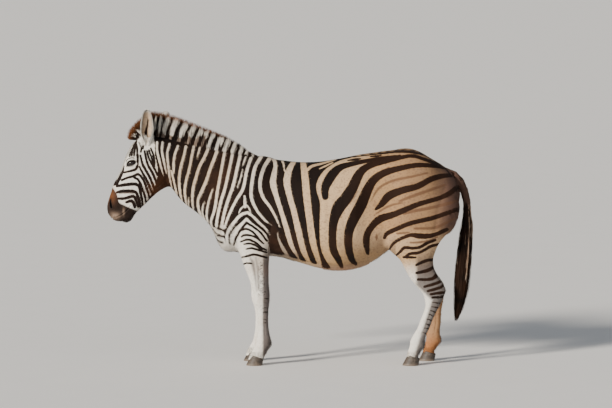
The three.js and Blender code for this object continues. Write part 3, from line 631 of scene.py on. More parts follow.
# ---------- Markings ----------
# A stripe is its line on the marking plate in cm, as "along,up" or "along,up,width", with a semicolon between
# two stripes. A width holds until the next one is given.
NECK_LIGHT = stripes("""
-83.1,141.3,1.3 -83.1,136 -81.7,129.8 -80.4,124.8,1 -79,120,.3;
-79.7,141.3,1.3 -80.1,136 -79,129.8 -77.8,124.1,.9 -77.3,121.6,.5;
-75.3,140.1,1.3 -76.8,134.4 -76.5,129.4 -75.9,124.1 -75.1,117.9,1 -73.9,112.9,.6;
-70.1,138.8,1.4 -72,133.5 -72.8,128.5 -72.8,123.5 -73.1,121.5,.7;
-74.4,123.6,.7 -73.6,120.7,1.1 -72.2,114.8 -71.1,109.8 -70.4,107.5,.5;
-65.1,138.5,1.5 -66.4,132.6 -68.1,126.6 -69.3,120.1 -69.2,114.1 -68.6,108.5,1.2 -67.3,104.1,.7;
-60.1,138.8,1.5 -61.5,132.3 -62.9,124.8 -64.8,117.9 -65.8,111.6 -65.4,105.4,1.2 -64.5,101.3,.7;
-63.4,107,.3 -63.6,103.6,.7 -63.2,100.6,.4;
-56.1,138.8,1.3 -57,135.4,1.2 -58.6,130.6,.4;
-50.4,139.1,1.7 -53.3,132.3 -56.7,125.7 -58.9,118.8 -60.6,112.3 -61.1,104.8,1.4 -60.4,97.8,.8;
-45.6,136,1.8 -47,131.9 -49.8,124.8 -52.3,117.3 -55.4,110.1 -57.6,104.8,1.4 -57,98.5 -54.3,92.6,.8;
-53.2,104.6,.4 -54.3,101.9,.9 -54.8,97.5 -53.3,92,.8;
-48.2,112.6,.4 -49.2,109.4,1.1 -51.1,103.2,1.2 -52.2,95.5 -51.1,89.8,.9;
-40.7,136,1.7 -43,123.6 -45.5,110 -47.2,99,1.6 -49.5,91.5,1.3 -48.1,86.2,.9;
-35.9,134.5,1.7 -37.3,127.6 -40.7,112.3 -43.5,103.2 -46.1,89.5,1.6 -45.2,83.9 -42.4,76.5,1.6;
-31,134,1.8 -32.7,126.5 -35.6,114 -39,104.3 -41.5,95.2 -43,85.6,1.6 -41,77,1.8;
-27.3,133.3,1.1 -28.8,128.8,1 -29.7,126.2,.4;
-29.7,124.4,.4 -31,118.5,.95 -33.4,111.9,.5;
-23.6,133.3,1.9 -27,123.6,1.8 -29.3,112.3,1.8 -33.3,105.5,1.6 -37.6,96.9,1.5 -41.2,87.6,1.2;
-18,132.2,2 -21.9,125.3 -23.9,115.1 -24.2,106.6,1.9 -20.8,98.6,1.6 -15.7,92.4,1.2 -11.5,89.3,.6;
-12.8,131,2.3 -16.5,124.8,2.2 -18.8,115.7,2.1 -17.4,107.7,1.9 -12.3,100.3,1.6 -8.9,94.1,1.2 -6.3,87.6,.6;
-10,130.2,2.2 -9.1,126.5,2.3 -10.2,120,3.4 -10.6,115,3.8 -8.6,107.5,3 -5.4,97.5,2.6 -2.6,88.4,3
   .8,77,2.6 5.3,68.5,.8;
-5.2,130.2,1.4 -4,127.2,1.2 -3.6,122.8,.5;
2.5,129.2,2.6 -.4,124,3.6 -2,116.5,4.2 -.1,106.6,3.4 2.5,97.5,3.4 5.3,85.5,3.7 8.5,73,3.4 12.9,64.2,1.4;
8.2,128,3.4 9.4,119,4.3 10.5,106.6,4.4 12,94.5,4.1 14.4,78.2,3.9 18.4,65,2.4;
28.5,130.3,.8 20,127.8,1.2 14,126.3,1.6 11,124,1.8;
18.5,124.6,.7 21.6,126,1 26.6,128.4,.7
""")
FORK = stripes("""
60,133.2,1.2 49.5,132,1.6 36.5,130,2 28.6,127,2.6 21.8,121.4,3.4 18.3,114.5,3.5 19,109,3.6 20.9,103,4.2
   20.7,86.7,4.3 21.8,73.6,4.2 27.5,63.4,3.8 32,59.6,3
""")[0]
FLANK_DARK = stripes("""
22,107,3.6 21.9,112,4.6 23.6,116.4,5.5 27.2,121.8,5.3 31.5,125.3,3.8 38,127.4,2.7 50.7,130,2
   60,131.6,1.5 69,132.7,.8;
32.2,63.5,1.8 30.2,67.8,3.5 27,74.5,4.4 26.5,84.3,4.6 27.6,93,5.5 30.4,100.4,7.4 34.6,105.6,7
   38.8,112.3,6.3 42,119,5.5 45.2,123.6,4.5 51,126.9,3.3 64.3,130.3,2.3 75.7,132.6,1.8 84,130.4,1.6
   91,127.8,1.5 97,125,1.2 99.6,121.9,.6;
41,65.2,1.6 38.5,68.2,3.6 36.6,75.5,4.5 36.7,84.5,5.1 39.6,92.8,6.2 44.4,101.9,6.6 48,110.4,5.8
   52,117.2,4.8 58.6,121.8,4 68.9,124.9,3 79.7,126.8,2.6 90.5,126.2,1.8 97.3,124.6,.6;
53.3,99,.9 57.2,102.4,3.4 61.9,107.6,4.7 70,111,4 79.7,113.6,3.5 88,118,3.2 95.6,120.1,2.6 101,120.3,1.4;
48.6,71.6,1.6 47.7,77.5,3.7 48.1,83.2,3.8 51.4,88.8,3.8 56.4,93.2,4.3 65.5,96.3,3.2 79.7,102.2,2.7
   92,105.8,2.4 99,108.8,2.6 104.5,113,2.4;
59,81.4,1.4 60.8,84.2,2.2 67.2,87.2,2 75.7,90.6,1.9 89.9,94,1.9 103,98.8,1.8 105.5,100,1.4;
62.3,74.4,.6 63.8,76.9,1 66.6,79.4,1.2 71,81.6,1.2 75.6,83.1,1.4 80,82.6,2.4 86,82.4,2.2 91,83.5,1.5
   95.6,85.5,1.6 98,86.6,1.2;
66.6,70.6,.4 69,72.8,.8 71.6,75.2,1 77,74.9,.9 81.4,75.7,1 85.5,78,1 90.8,80,.6;
72.5,70,.5 75,71.4,.9 80,72,.9 84,73.8 88,76.1 93.4,77.4,.6;
71,69.3,.4 74.5,69.2,.6 78.4,69.1,.3;
79,64.4,.5 82.2,66,1 85.9,67.3,1 88.8,67.7,.7;
79,59.4,.6 83,60.2,1.1 86.5,61.2,1.3 89.3,62.8,.9;
80,55.4,.6 85.3,55.3,.9 89.3,56,1.2 91.6,58,1.6 92.6,59.5,.8;
84,50.8,.5 89,52.2,.9 93.4,53.8 95,55.2,.6;
86,48.1,.5 90,49.1,.9 94.2,50.6 96.5,52.4,.6;
88,46.1,.5 93,46.9,.8 97.6,47.5,.8;
89,44.1,.4 93,44.3,.6 98,45,.8;
36,129.7,.2 40.5,130.3,1.1 44,130.8,.3;
57,134.5,1.6 66,135.3,1.4 75,135.1,1.3 84,133.4,1 92,130.8,.7 98,127.6,.4;
50,132.2,.2 53.5,132.4,.7 57,132.8,.2
""")
SHADOWS = stripes("""
68.3,104.2,.6 74,106.5,1.2 85.3,110.5,1.3 96.7,114.4,.7;
71,96.3,.6 76.8,98,1.2 88.2,100.2,1.3 99.5,103.1,1.2 104,104.8,.8;
78,87.2,.6 88.2,87.4,1.1 93.9,88.9,1.1 102.4,93.4,.6;
66.5,84.2,.3 70.5,84.3,.7 74.5,84.8,.3;
75,78.4,.6 79,78.4,.9 84,79,1 88,80 92,81.8,.5;
44.2,108,.5 49,116,1.1 54.5,121.4,1 62,125.4,.6;
31.4,94,.4 33.4,100,.9 38.8,105,.8 42.6,111,.4;
50.5,104,.4 54,110.5,1.1 58.5,114.5,1.2 66,117.6,1 76,119.6,.8 86,122,.5;
52.5,95.3,.4 57,98.6,1 63,101.6,.9 70,103.3,.4;
-107,109,.3 -104,109.2,.5 -100.5,109.4,.5 -97.6,108.7,.3;
88.8,41.1,.5 93,40.6,.9 96.3,40.4,.6;
88.4,38.3,.6 92,37.8,1 94.2,37.3,.7;
87.6,36,.6 91,34.9,.9 92.6,34.4,.6;
86.6,33.8,.6 89.6,32.4,.9 90.8,31.3,.6;
85.4,30.6,.6 88.4,29.8,1 90,29.5,.8;
84.6,27.6,.6 87,27,1.1;
83.6,25,.5 86.6,24.7,.9;
82.6,22.4,.5 85.2,21.6,.9;
-19.3,62.8,.3 -17.4,64.4,.7;
-20.2,60.3,.3 -17.9,62.3,.6;
-18.6,58.4,.3 -17.2,59.1,.6;
-17.7,56.2,.3 -16.3,56.6,.7;
-18.6,54,.3 -16.6,54.6,.5;
-17.4,51.9,.3 -15.9,52.6,.6;
-18.6,49.6,.3 -16.9,50.1,.6;
-17.2,47.1,.3 -15.4,47.8,.7;
-17.4,45.3,.3 -15.9,46,.6;
-16.6,43.6,.3 -14.6,43.5,.8 -13.4,43.3,.6;
-16.6,41,.3 -14.4,40.6,.5;
-21.6,39.8,.2 -20.9,39.4,.45;
-17.2,37.3,.3 -15.2,37.7,.6 -13.5,37.3,.5;
-17.6,34.7,.3 -15.2,35,1 -13.6,34.8,.6;
-21,36.4,.15 -17.6,39.4,.3;
-19.5,35.6,.15 -17,37.1,.3;
-16.8,30.4,.3 -15,30.2,.8;
-17,28.2,.3 -15.2,28.3,.8;
54.1,83.4,.8 54.1,81.8,1.4 54.1,80,.6
""")
SHOULDER_LIGHT = stripes("""
-28.4,107.5,1 -28.2,103.5,1.7 -28.1,100.6,1.6;
-28.1,101.8,.8 -30.6,99.6,1 -32,96.8,.5;
-27.6,102.2,.6 -25.9,100.3,.8 -24.5,96.8,.5;
-26.6,97.2,1.6 -30.9,95.6,1.8 -35.6,90.3,1.8 -38.4,86.5,1.7 -39.7,81.5,1.6 -39,76.6,1.8;
-26.6,97.2,1.4 -23.1,94.6,1.5 -19.4,90.9,1.5 -15.6,87.4,1.3 -12.6,83.2,.8;
-27.2,93.2,1.5 -30.6,89.6,1.8 -34.1,86.5,1.7 -36.6,82.4,1.6 -36.6,77,1.8;
-27.2,93.2,1.2 -24.1,90.3,1.1 -19.7,87.1,.9 -15.6,83.4,.9 -13.6,79,.9
""")
LEG_DARK = stripes("""
-27.2,90.8,1.3 -30.9,86.2,1.1 -34.1,80.9,1.1 -35.3,76.8,.5;
-27.2,90.8,1.1 -22.8,88.1,.9 -18.4,84.6,.8 -14.6,79.4,.7;
-30.2,86,.5 -27.2,86.9,.9 -22.8,84.6,.8 -17.6,78.4,.7;
-30.4,82,.5 -28.4,83.1,.9 -24.1,82.7,.8 -20.6,81.2,.8 -16.6,77.8,.6;
-30.8,78.9,.5 -26.3,80.3,.9 -21.6,78.4,.9 -17.5,75,.8 -14.8,73.8,.5;
-28.8,77.4,.4 -25,77.8,.8 -21.3,76.4,.7 -17.6,73.8,.5;
-27.4,74.3,.4 -24.1,74.9,.8 -19.6,73.7,.8 -14.8,72.3,.6;
-30.1,69.2,.4 -27,69.9,.9 -22.5,70.9,1 -17.8,69.9,.9 -14.6,69,.6;
-29.8,64.6,.3 -27,65.6,.6 -23.9,65.3,.5
""")
FACE_DARK = stripes("""
-105,117.5,.5 -101.5,119 -98,119.9,.8 -94.9,121.1,.9 -92.4,118.7,.9 -90.3,114.6 -88.4,109,.8
   -87.4,105.8,.6;
-97.6,119.3,.4 -94.7,117.5,.8 -92.6,113.1,.8 -90.9,108.2,.8 -90,104,.6;
-108.2,113.7,.5 -103.8,114.4,1 -97.4,115,1.1 -94.4,113.7,1.1 -93.4,109.3,1 -92.5,105.5,.8 -92,102,.6;
-108,109.8,.5 -104.7,110.5,1 -97.4,110.3,1 -95,107.2,1 -93.4,100.8,.7;
-107.7,105.9,.5 -103.3,106,.8 -98,107.3,.9 -96,104.5,.8 -94.9,100.8,.6;
-102.3,103.6,.5 -99.1,104.4,1 -97.4,102.5,1 -97,100.6,.8;
-103.7,122.2,.4 -99.1,123.3,.8 -96.3,124.4,.9 -95.3,127.5,.8 -95.2,133.4,.6;
-94.1,125.8,.5 -92.1,121.9,.8 -89.4,117.2,.9 -86.6,111,.8 -85.2,107,.6;
-93.5,132.8,.5 -91.8,126.7,.9 -87.6,119,1 -84.6,111.8,.8 -83.6,109,.5;
-90.9,135.6,.5 -89.1,127.8,.8 -85.6,121.1,.9 -83.6,116,.8 -82.4,112,.6;
-89.4,135.6,.4 -87.9,130.5,.6 -84.1,123.4,.6 -82.9,120.6,.4;
-88.2,136.2,.3 -85.9,129.8,.5 -84.6,126,.4;
-87,137.3,.3 -85.3,132.9,.5 -84.5,127.6,.4;
-105,127,.3 -106.2,121.9,.6 -109.8,114.6,.5;
-103.9,126.2,.3 -105,121.5,.6 -108.4,114.6,.5;
-97.5,132.6,.3 -96.9,138,.7 -96,142,.6;
-98.9,132.6,.3 -98.6,137,.65 -97.5,141.4,.6;
-95.6,133,.3 -95.5,137,.6 -96.2,140.4,.4;
-100.2,132.4,.3 -100,136,.6 -98.9,140.2,.4;
-93.2,135,.3 -92.9,138,.5 -94.3,141,.3;
-91.9,137.2,.3 -91.6,139.4,.4 -92.6,142,.3
""")
LEG_GROOVE, LEG_HOLLOW, ELBOW_LIGHT = stripes("""
-21.4,69,.3 -20.4,62,.6 -20,56,.6 -19.6,49,.3;
-25,69,1 -23.4,65.5,2.4 -22.2,60,1.9 -21.4,54,1.1 -20.9,48,.5;
-8.2,86,.3 -7.2,81,1 -5.4,76.5,1.7 -3.4,73,2 -1.5,70.4,1.4
""")
# Areas of the plate, by their corners: where the side is dark between light lines, the head and the foreleg,
# where lines are dark on light, and the place behind the elbow, mottled with painted shade.
DARK_SIDE = [tuple(p[:2]) for p in FORK] + [(32, -10), (-140, -10), (-140, 170), (60, 170)]
HEAD_SIDE = [
    (-84.6, 146), (-84.5, 136), (-84.1, 132), (-83.2, 128), (-82.5, 124), (-82.7, 120), (-83.4, 116),
    (-84.6, 112), (-87, 108), (-90.4, 103), (-93.5, 97), (-96, 90), (-140, 90), (-140, 170), (-84.6, 170),
]
LEG_FRONT = [
    (-27.2, 92.6), (-30.6, 89.2), (-34.1, 86), (-36.4, 82), (-36.6, 77.4), (-48, 79), (-52, 60), (-40, -5),
    (4, -5), (-4, 60), (-11, 66), (-13.4, 79), (-15.6, 83), (-19.7, 86.6), (-24.1, 89.8),
]
ELBOW = [(-14, 97), (-9.5, 90), (-5.5, 84), (-1.8, 76), (2.5, 69.5), (6, 65), (-14, 60)]
NOSE_EDGE = np.array([
    (-117, 115), (-110.4, 113.6), (-108.4, 110), (-107.4, 105), (-105, 101), (-101, 98), (-96, 96), (-90, 94),
])
# In the head's frame, in mm: along and upper, and for the nostril half its width.
NOSTRIL = [(444, 76, 2.5), (462, 70, 6), (480, 58, 8), (490, 49, 5)]
MOUTH = [(556, 26), (530, -8), (505, -28), (470, -44), (432, -56)]
NO_STRIPE = -9

EYE_OUT = np.array([-0.26, 0.955, 0.14])
EYE_OUT /= np.linalg.norm(EYE_OUT)
EYE_NOSE = np.array([-0.95, 0, -0.31])
EYE_NOSE -= EYE_NOSE @ EYE_OUT * EYE_OUT
EYE_NOSE /= np.linalg.norm(EYE_NOSE)
EYE_UP = np.cross(EYE_OUT, EYE_NOSE)
EYE_UP *= np.sign(EYE_UP[2])


def eye_frame(p):
    """Coordinates about the eye of each side: towards the nose, up towards the brow, and outwards."""
    side = np.where(p[:, 1] < 0, -1.0, 1.0)
    d = np.stack([p[:, 0] - EYE_X, p[:, 1] * side - EYE["side"], p[:, 2] - EYE_Z], 1)
    return d @ EYE_NOSE, d @ EYE_UP, d @ EYE_OUT


def blend(a, b, share):
    return a * (1 - share) + b * share


def plate_stripes(x, z, head_side, elbow):
    """How many cm inside a dark stripe each place on the plate is, less than none on the light coat."""
    leg_front = polygon_reach(x, z, LEG_FRONT)
    stripe = np.minimum(polygon_reach(x, z, DARK_SIDE), 3)
    for light in (most(x, z, NECK_LIGHT), line_reach(x, z, FORK), most(x, z, SHOULDER_LIGHT)):
        stripe = np.minimum(stripe, -light)
    for pale_area in (leg_front, head_side):
        stripe = np.where(pale_area > 0, -np.maximum(pale_area, 0.4), stripe)
    for lines, wider, where in (
        (FLANK_DARK, 0.26 + 0.26 * step(x, 55, 72) * step(-z, -104, -92), x > 14),
        (LEG_DARK, 0.3, leg_front > -0.5),
        (FACE_DARK, 0.44 + 0.14 * step(-x, 94, 98) * step(-z, -121, -118), head_side > -1),
    ):
        stripe = np.maximum(stripe, np.where(where, most(x, z, lines) + wider, NO_STRIPE))
    # Behind the elbow the stripes go half dark and mottled: painted shade.
    elbow_shade_mottle = np.minimum(elbow, z - 70.5).clip(-0.3, 0.02)
    stripe = np.where(elbow > 0, np.maximum(stripe, elbow_shade_mottle), stripe)
    return np.minimum(stripe, -line_reach(x, z, ELBOW_LIGHT))


def forehead_lines(stripe, head_side, along, upper, aside):
    """Fine lines down the forehead and the bridge of the nose."""
    spacing = 13.0 - 5.5 * step(along, 60, 400)
    lines = np.cos((aside + 1.2 * np.sin(along / 23)) * 2 * math.pi / spacing) * spacing / 4.5
    share = step(upper, 82, 92) * (1 - step(along, 300, 380)) * step(along, -20, 40)
    where = (head_side > 0) & (upper > 78) & (along < 430)
    return np.where(where, blend(stripe, lines - 0.2, share), stripe)


def chest_bows(stripe, x, y, z, normal):
    """Across the front of the chest the lines meet in shallow bows, and its lowest part is plain."""
    spacing, foot = 44, 76.5
    bows = np.cos((z * 10 + 0.42 * np.abs(y) + 5 * np.sin(y / 19)) * 2 * math.pi / spacing) * 7.5 - 1.8
    bows = np.where(z < foot, -4, bows)
    share = step(-normal[:, 0], 0.35, 0.7) * step(-z, -91, -85) * step(-x, 36, 42) * step(z, 70, 74)
    return blend(stripe, bows, share)


def back_and_belly(stripe, x, z, p, normal):
    """A dark line along the back with short bars beside it, and a plain belly with a thin line."""
    aside = np.abs(p[:, 1])
    back = (normal[:, 2] > 0.2) & (z > 118) & (x > -25)
    bars = np.minimum(9 * np.sin((x * 10 - 0.9 * aside) / 8.2) - 1, aside - 22)
    stripe = blend(stripe, bars, back * step(-aside, -60, -34) * step(x, 30, 50))
    spine = 8 + 5 * step(x, 40, 60) - aside + 2 * np.sin(x * 0.9)
    stripe = np.where(back & (aside < 30), np.maximum(stripe, spine), stripe)
    belly = step(-normal[:, 2], 0.86, 0.97) * (p[:, 2] < 760) * (p[:, 2] > 560) * (x > -24)
    stripe = blend(stripe, -8, belly)
    belly_line = np.maximum(stripe, (16 - aside) * 0.6)
    return np.where((belly > 0.5) & (x > -5) & (x < 46), belly_line, stripe)


def inner_leg(p, normal):
    """1 on the plain inner sides of the legs, 0 elsewhere."""
    fore = p[:, 0] < 200
    middle = np.where(fore, 118, 124)
    inner = step(-p[:, 2], -800, -640) * step(middle - np.abs(p[:, 1]), -14, 12)
    inner = inner * (np.abs(p[:, 2] - 400) < 460)
    return inner * np.where(fore, 1, step(-normal[:, 1] * np.sign(p[:, 1]), -0.25, 0.2))


def eye_rings(stripe, p):
    """A pale ring round each eye, and a dark line above it."""
    a, b, c = eye_frame(p)
    brow = 4.2 - np.abs(np.hypot(a / 1.45, b + 3) - 25)
    brow = np.where((b > 2) & (c > -12) & (np.abs(a) < 34), brow, NO_STRIPE)
    under = 4.5 - np.abs(np.hypot(a / 1.7, b - 2) - 25)
    under = np.where((b < -6) & (c > -12) & (np.abs(a) < 36), under, NO_STRIPE)
    ring = np.maximum(brow, under)
    stripe = np.where(ring > -3, np.minimum(stripe, -ring), stripe)
    above = 3.2 - np.abs(np.hypot(a / 1.45, b + 3) - 33)
    above = np.where((b > 10) & (c > -20) & (np.abs(a) < 34), above, NO_STRIPE)
    return np.maximum(stripe, above)


def warm_share(x, z, head_side):
    """Tan rather than white: most on the flank and rump, and little on the face. Low down, only the rear of
    the hind legs has some."""
    warm = 0.7 * soft_blob(x, z, -60, 122, 30, 26) + 0.88 * step(x, -35, 15) * step(z, 55, 70)
    warm += 0.38 * step(x, 40, 75) * step(z, 80, 95)
    warm += 0.35 * soft_blob(x, z, 35, 62, 40, 10)
    hind_front = step(-(x - 78 - 0.2 * (z - 50)), -3, 6)
    warm *= 1 - step(-z, -66, -52) * np.where(x > 20, hind_front, 1)
    warm *= 1 - 0.85 * step(x, -44, -36) * step(-x, 30, 34) * step(-z, -80, -74)
    warm *= 1 - 0.8 * np.clip(head_side / 3, 0, 1)
    return np.clip(warm, 0, 1)


def painted_shade_and_spots(x, z, elbow, inner):
    """Painted shade as a greyer, browner light coat: at the rear of the legs, on the rump, low on the flank,
    behind the elbow and in the forelegs' groove and hollow; besides, the forelegs' own grey spots."""
    # Painted shade on the rear of the hind leg, the rear of the foreleg and the armpit.
    gaskin = 0.84 * step(x - np.clip(52 - z, 0, 12), 77.5, 80.5) * step(-z, -78, -62) * step(z, 38, 44)
    hind_rear = 0.84 * step(x - 0.32 * np.minimum(z - 20, 24), 80.5, 82.7) * step(-z, -50, -46) * (x > 70)
    fore_rear = 0.9 * step(x, -17.8, -16.2) * step(-z, -78, -66) * (x < 0)
    armpit = 0.8 * step(x, -14, -10) * step(-x, -12, 0) * step(-z, -74, -70) * (z > 60)
    # Painted shade on the rump's rear, over the rump and low on the flank.
    rump_edge = 0.85 * step(x, 102.5, 104.5) * step(z, 92, 100)
    rump = 0.46 * step(x, 42, 80) * step(z, 80, 90) + 0.5 * step(x, 84, 101) * step(z, 76, 84)
    low_flank = 0.38 * step(x, 25, 40) * step(-z, -95, -72) * (z > 60) * (x < 66)
    # Painted shade in the foreleg's groove and hollow.
    groove = 0.6 * step(line_reach(x, z, LEG_GROOVE), -1.3, 0.3)
    hollow = 0.7 * step(line_reach(x, z, LEG_HOLLOW), -0.7, 0.9)
    # The forelegs' own grey spots, not shade.
    spots = np.sin(x * 2.9 + 2.1 * np.sin(z * 1.1 + 0.6)) * np.sin(z * 2.2 + 1.7 * np.sin(x * 1.9))
    spots = 0.85 * step(spots, 0.3, 0.75) * step(x, -21, -19.5) * step(-x, 15, 16.5)
    spots = spots * step(z, 42, 46) * step(-z, -69, -65)
    # Painted shade behind the elbow.
    behind_elbow = 0.5 * step(elbow, -0.5, 1.0)
    legs = np.maximum.reduce((gaskin, hind_rear, fore_rear, armpit, groove, hollow, spots))
    body = np.maximum.reduce((rump_edge, rump, low_flank, behind_elbow))
    return np.maximum(legs, body) * (1 - 0.6 * inner)


def rust_share(x, z):
    """Rusty hair: on the nose, behind the cheek, along the belly's edge and, faintly, on neck and flank."""
    rust = 0.10 * step(x, 20, 60) * step(z, 66, 90)
    for share, at_x, at_z, half_x, half_z in (
        (0.85, -111.8, 107.4, 3.0, 4.6),
        (0.6, 30, 60, 30, 3.5),
        (0.45, -112.4, 112.5, 1.6, 3),
        (0.05, -44, 112, 9, 26),
        (0.25, -79, 116, 4, 5),
        (0.5, -85, 111, 4.5, 4),
    ):
        rust += share * soft_blob(x, z, at_x, at_z, half_x, half_z)
    return rust


def brown_share(x, z, elbow):
    """Brown rather than black in the dark stripes."""
    brown = 0.06 + 0.32 * soft_blob(x, z, -44, 116, 9, 24) + 0.25 * soft_blob(x, z, -76, 132, 10, 12)
    # Behind the elbow the brown is painted shade.
    brown += 0.10 * step(-x, -5, 20) + 0.15 * step(elbow, -0.2, 1)
    brown += 0.12 * step(x, 70, 100) * step(z, 90, 100) + 0.35 * step(x, -16, -8) * step(-z, -92, -80)
    return np.clip(brown, 0, 1)


def muzzle_share(x, z, head_side, along):
    """The dark nose, lips and chin: bounded above by a line that falls towards the cheek."""
    line = z - np.interp(x, NOSE_EDGE[:, 0], NOSE_EDGE[:, 1]) - 0.5 * np.sin(x * 1.1)
    parts = (np.clip(-line / 1.6, 0, 1), step(along, 425, 460), soft_blob(x, z, -110.4, 101, 1.8, 3.2))
    return np.clip(np.maximum.reduce(parts) * (head_side > 0), 0, 1)


def bare_share(p, head_side, along, upper):
    """Bare dark skin: the lids and their inner corners, and the nostrils, darkened further inside as painted
    shade.
    """
    a, b, c = eye_frame(p)
    lids = np.hypot((a - 1) / 37, (b + 1) / 19.5)
    lids = step(-lids, -1.1, -0.9) * (c > -6) * (1 - 0.15 * step(-b, 12, 17))
    corner = np.hypot((a - 33) / 12, (b + 6 + 0.25 * (a - 33)) / 5)
    corner = step(-corner, -1.2, -0.8) * (c > -5)
    # The nostrils' own dark skin, deepened as painted shade in their hollows.
    nostril = 1 - step(path_distance(along, upper, NOSTRIL), -2, 5)
    nostril = nostril * (head_side > 0) * (along > 420) * (np.abs(p[:, 1]) > 8)
    return np.clip(np.maximum.reduce((lids, corner, nostril)), 0, 1)


def markings(p, normal):
    """The markings at points: each a number per point. stripe and shadow are how many mm inside a dark stripe
    and inside a faint one each point lies; the others are shares from 0 to 1."""
    x, z = plate(p)
    y = p[:, 1]
    far = (y > 0) * step(np.abs(y), 20, 110)  # the other flank isn't an exact mirror image
    x = x + far * (0.7 * np.sin(z / 11 + 1) + 0.5 * np.sin(x / 17))
    z = z + far * (0.8 * np.sin(x / 13 + 2))
    wobble = 0.10 * np.sin(x * 2.1 + 1.3 * np.sin(z * 0.7)) * np.sin(z * 1.7 + x * 0.4)
    x, z = x + wobble, z + 0.8 * wobble
    head_side = polygon_reach(x, z, HEAD_SIDE)
    elbow = polygon_reach(x, z, ELBOW)
    along, upper = in_frame(HEAD, p[:, 0], p[:, 2])
    inner = inner_leg(p, normal)

    stripe = plate_stripes(x, z, head_side, elbow) * 10
    stripe = forehead_lines(stripe, head_side, along, upper, np.abs(y))
    stripe = chest_bows(stripe, x, y, z, normal)
    stripe = back_and_belly(stripe, x, z, p, normal)
    stripe = blend(stripe, -7, inner)
    shadow = 10 * (most(x, z, SHADOWS, 1.5) + 0.16 + 0.22 * step(x, 55, 70) * step(z, 76, 84)) - 20 * inner
    low_on_leg = ((z < 70) & (np.abs(x) < 40)) | ((z < 48) & (x > 70))
    stripe = np.where(low_on_leg, np.maximum(stripe, shadow - 2.2), stripe)
    shadow = np.where(low_on_leg, -20, shadow)

    # The far hind leg is rusty and plain from the hock down.
    rusty_leg = (y > 0) * (p[:, 0] > 600) * step(-p[:, 2] + 12 * np.sin(y / 15), -520, -400)
    stripe = blend(stripe, np.minimum(stripe, -3), rusty_leg)
    leg_rust = 0.26 + 0.40 * step(-p[:, 2], -200, -80)
    chin = soft_blob(x, z, -109.8, 94.8, 3.2, 2.3) + 0.7 * soft_blob(x, z, -104, 97.6, 0.7, 2.4)
    return {
        "stripe": eye_rings(stripe, p),
        "shadow": shadow,
        "warm": blend(warm_share(x, z, head_side), 0.95, rusty_leg),
        # Painted shade on the rear of the legs, the rump, the low flank and behind the elbow, with the
        # forelegs' grey spots.
        "grey_and_shade": painted_shade_and_spots(x, z, elbow, inner),
        "rust": np.clip(blend(rust_share(x, z), leg_rust, rusty_leg), 0, 1),
        "brown": brown_share(x, z, elbow),
        "muzzle": muzzle_share(x, z, head_side, along),
        "pale": np.clip(chin, 0, 1) * (head_side > 0),
        "bare": bare_share(p, head_side, along, upper),
    }


# ---------- Folds, lids, nostrils and mouth ----------
# The opening between the lids, in mm: half its length, its height above and below its corners, and the
# thickness of the lids.
LID_HALF = 25.0
LID_RISE = 12.0
LID_FALL = 8.5
LID_THICK = 3.0
LID_REACH = EYE["radius"] + LID_THICK  # from the eyeball's middle to the outside of the lids
# Creases and ridges of the body, on the marking plate: height in mm (below zero is a groove), half width in
# cm, and the line.
CREASES = [
    (-5, 0.9, "-11.8,88 -12.9,83 -13.8,77 -14.2,71"),
    (-2.4, 1.6, "-35,110 -40,99 -42.6,89 -41,80"),
    (3.5, 1.7, "67,84 61,77 54,70 47,65"),
    (-3, 1.2, "60.5,84 60,77 63,70"),
    (-2.8, 1.5, "97,113 93.5,101 91,89 90,78"),
    (-3.2, 1.0, "93.5,56 90.5,62 88.5,70"),
    (2.2, 1.8, "-23,121 -28,109 -32,98"),
    (-2.6, 1.5, "-78,115 -66,103 -54,92 -46,84"),
    (-1.6, 0.6, "-84,112 -80,114.5 -77,119"),
    (-1.4, 0.6, "-81,109.5 -77,112 -74,116"),
    (-1.3, 0.6, "-77,106 -73.6,109 -71,113"),
    (-1.6, 1.0, "-22.2,70 -22,62 -21.2,52 -20.4,46"),
    (-1.5, 0.9, "70,80 66,74 66,69"),
    (1.6, 2.5, "40,124 50,123 62,121"),
    (-2, 2.2, "20,70 34,66 46,68"),
    (1.8, 0.9, "-101.5,121 -104,115.5 -106,110"),
]


def lid_edge(a, b):
    """Distance outside the opening between the lids, in mm."""
    share = np.clip(1 - (a / LID_HALF) ** 2, 0, 1)
    above = b - LID_RISE * share**0.8
    below = -LID_FALL * share - b
    beyond = np.hypot(np.maximum(np.abs(a) - LID_HALF, 0), b)
    return np.where(np.abs(a) < LID_HALF, np.maximum(above, below), beyond)


def hump(distance, width):
    """1 at no distance, falling away smoothly over about the given width."""
    return np.exp(-((distance / width) ** 2))


def folds(p, normal):
    """Heights in mm of the creases, the ribs and the grooves of the lower legs."""
    x, z = plate(p)
    sideways = step(np.abs(normal[:, 1]), 0.15, 0.45)
    rise = np.zeros(len(p))
    for height, half, line in CREASES:
        thin = stripes(line)[0] * [1, 1, 0] + [0, 0, 0.02]
        off = np.maximum(-line_reach(x, z, thin, 3 * half), 0)
        rise += height * hump(off, half) * sideways
    ribs = np.sin(x * 1.25 + 0.002 * (z - 90) ** 2) * step(x, -2, 8) * step(-x, -46, -36)
    rise += 0.7 * ribs * step(z, 74, 82) * step(-z, -112, -98) * sideways
    for leg, where in ((FORELEG, p[:, 0] < 100), (HINDLEG, p[:, 0] > 600)):
        low = where & (p[:, 2] < 380) & (p[:, 2] > 120)
        q = p[low]
        back, front = station_at(leg["stations"], q[:, 2])[:2]
        share = (q[:, 0] - far_shift(leg, q[:, 1], q[:, 2]) - front) / (back - front)
        groove = hump(share - 0.6, 0.07) * step(q[:, 2], 175, 205) * step(-q[:, 2], -350, -320)
        rise[low] -= 2.6 * groove * sideways[low]
    return rise


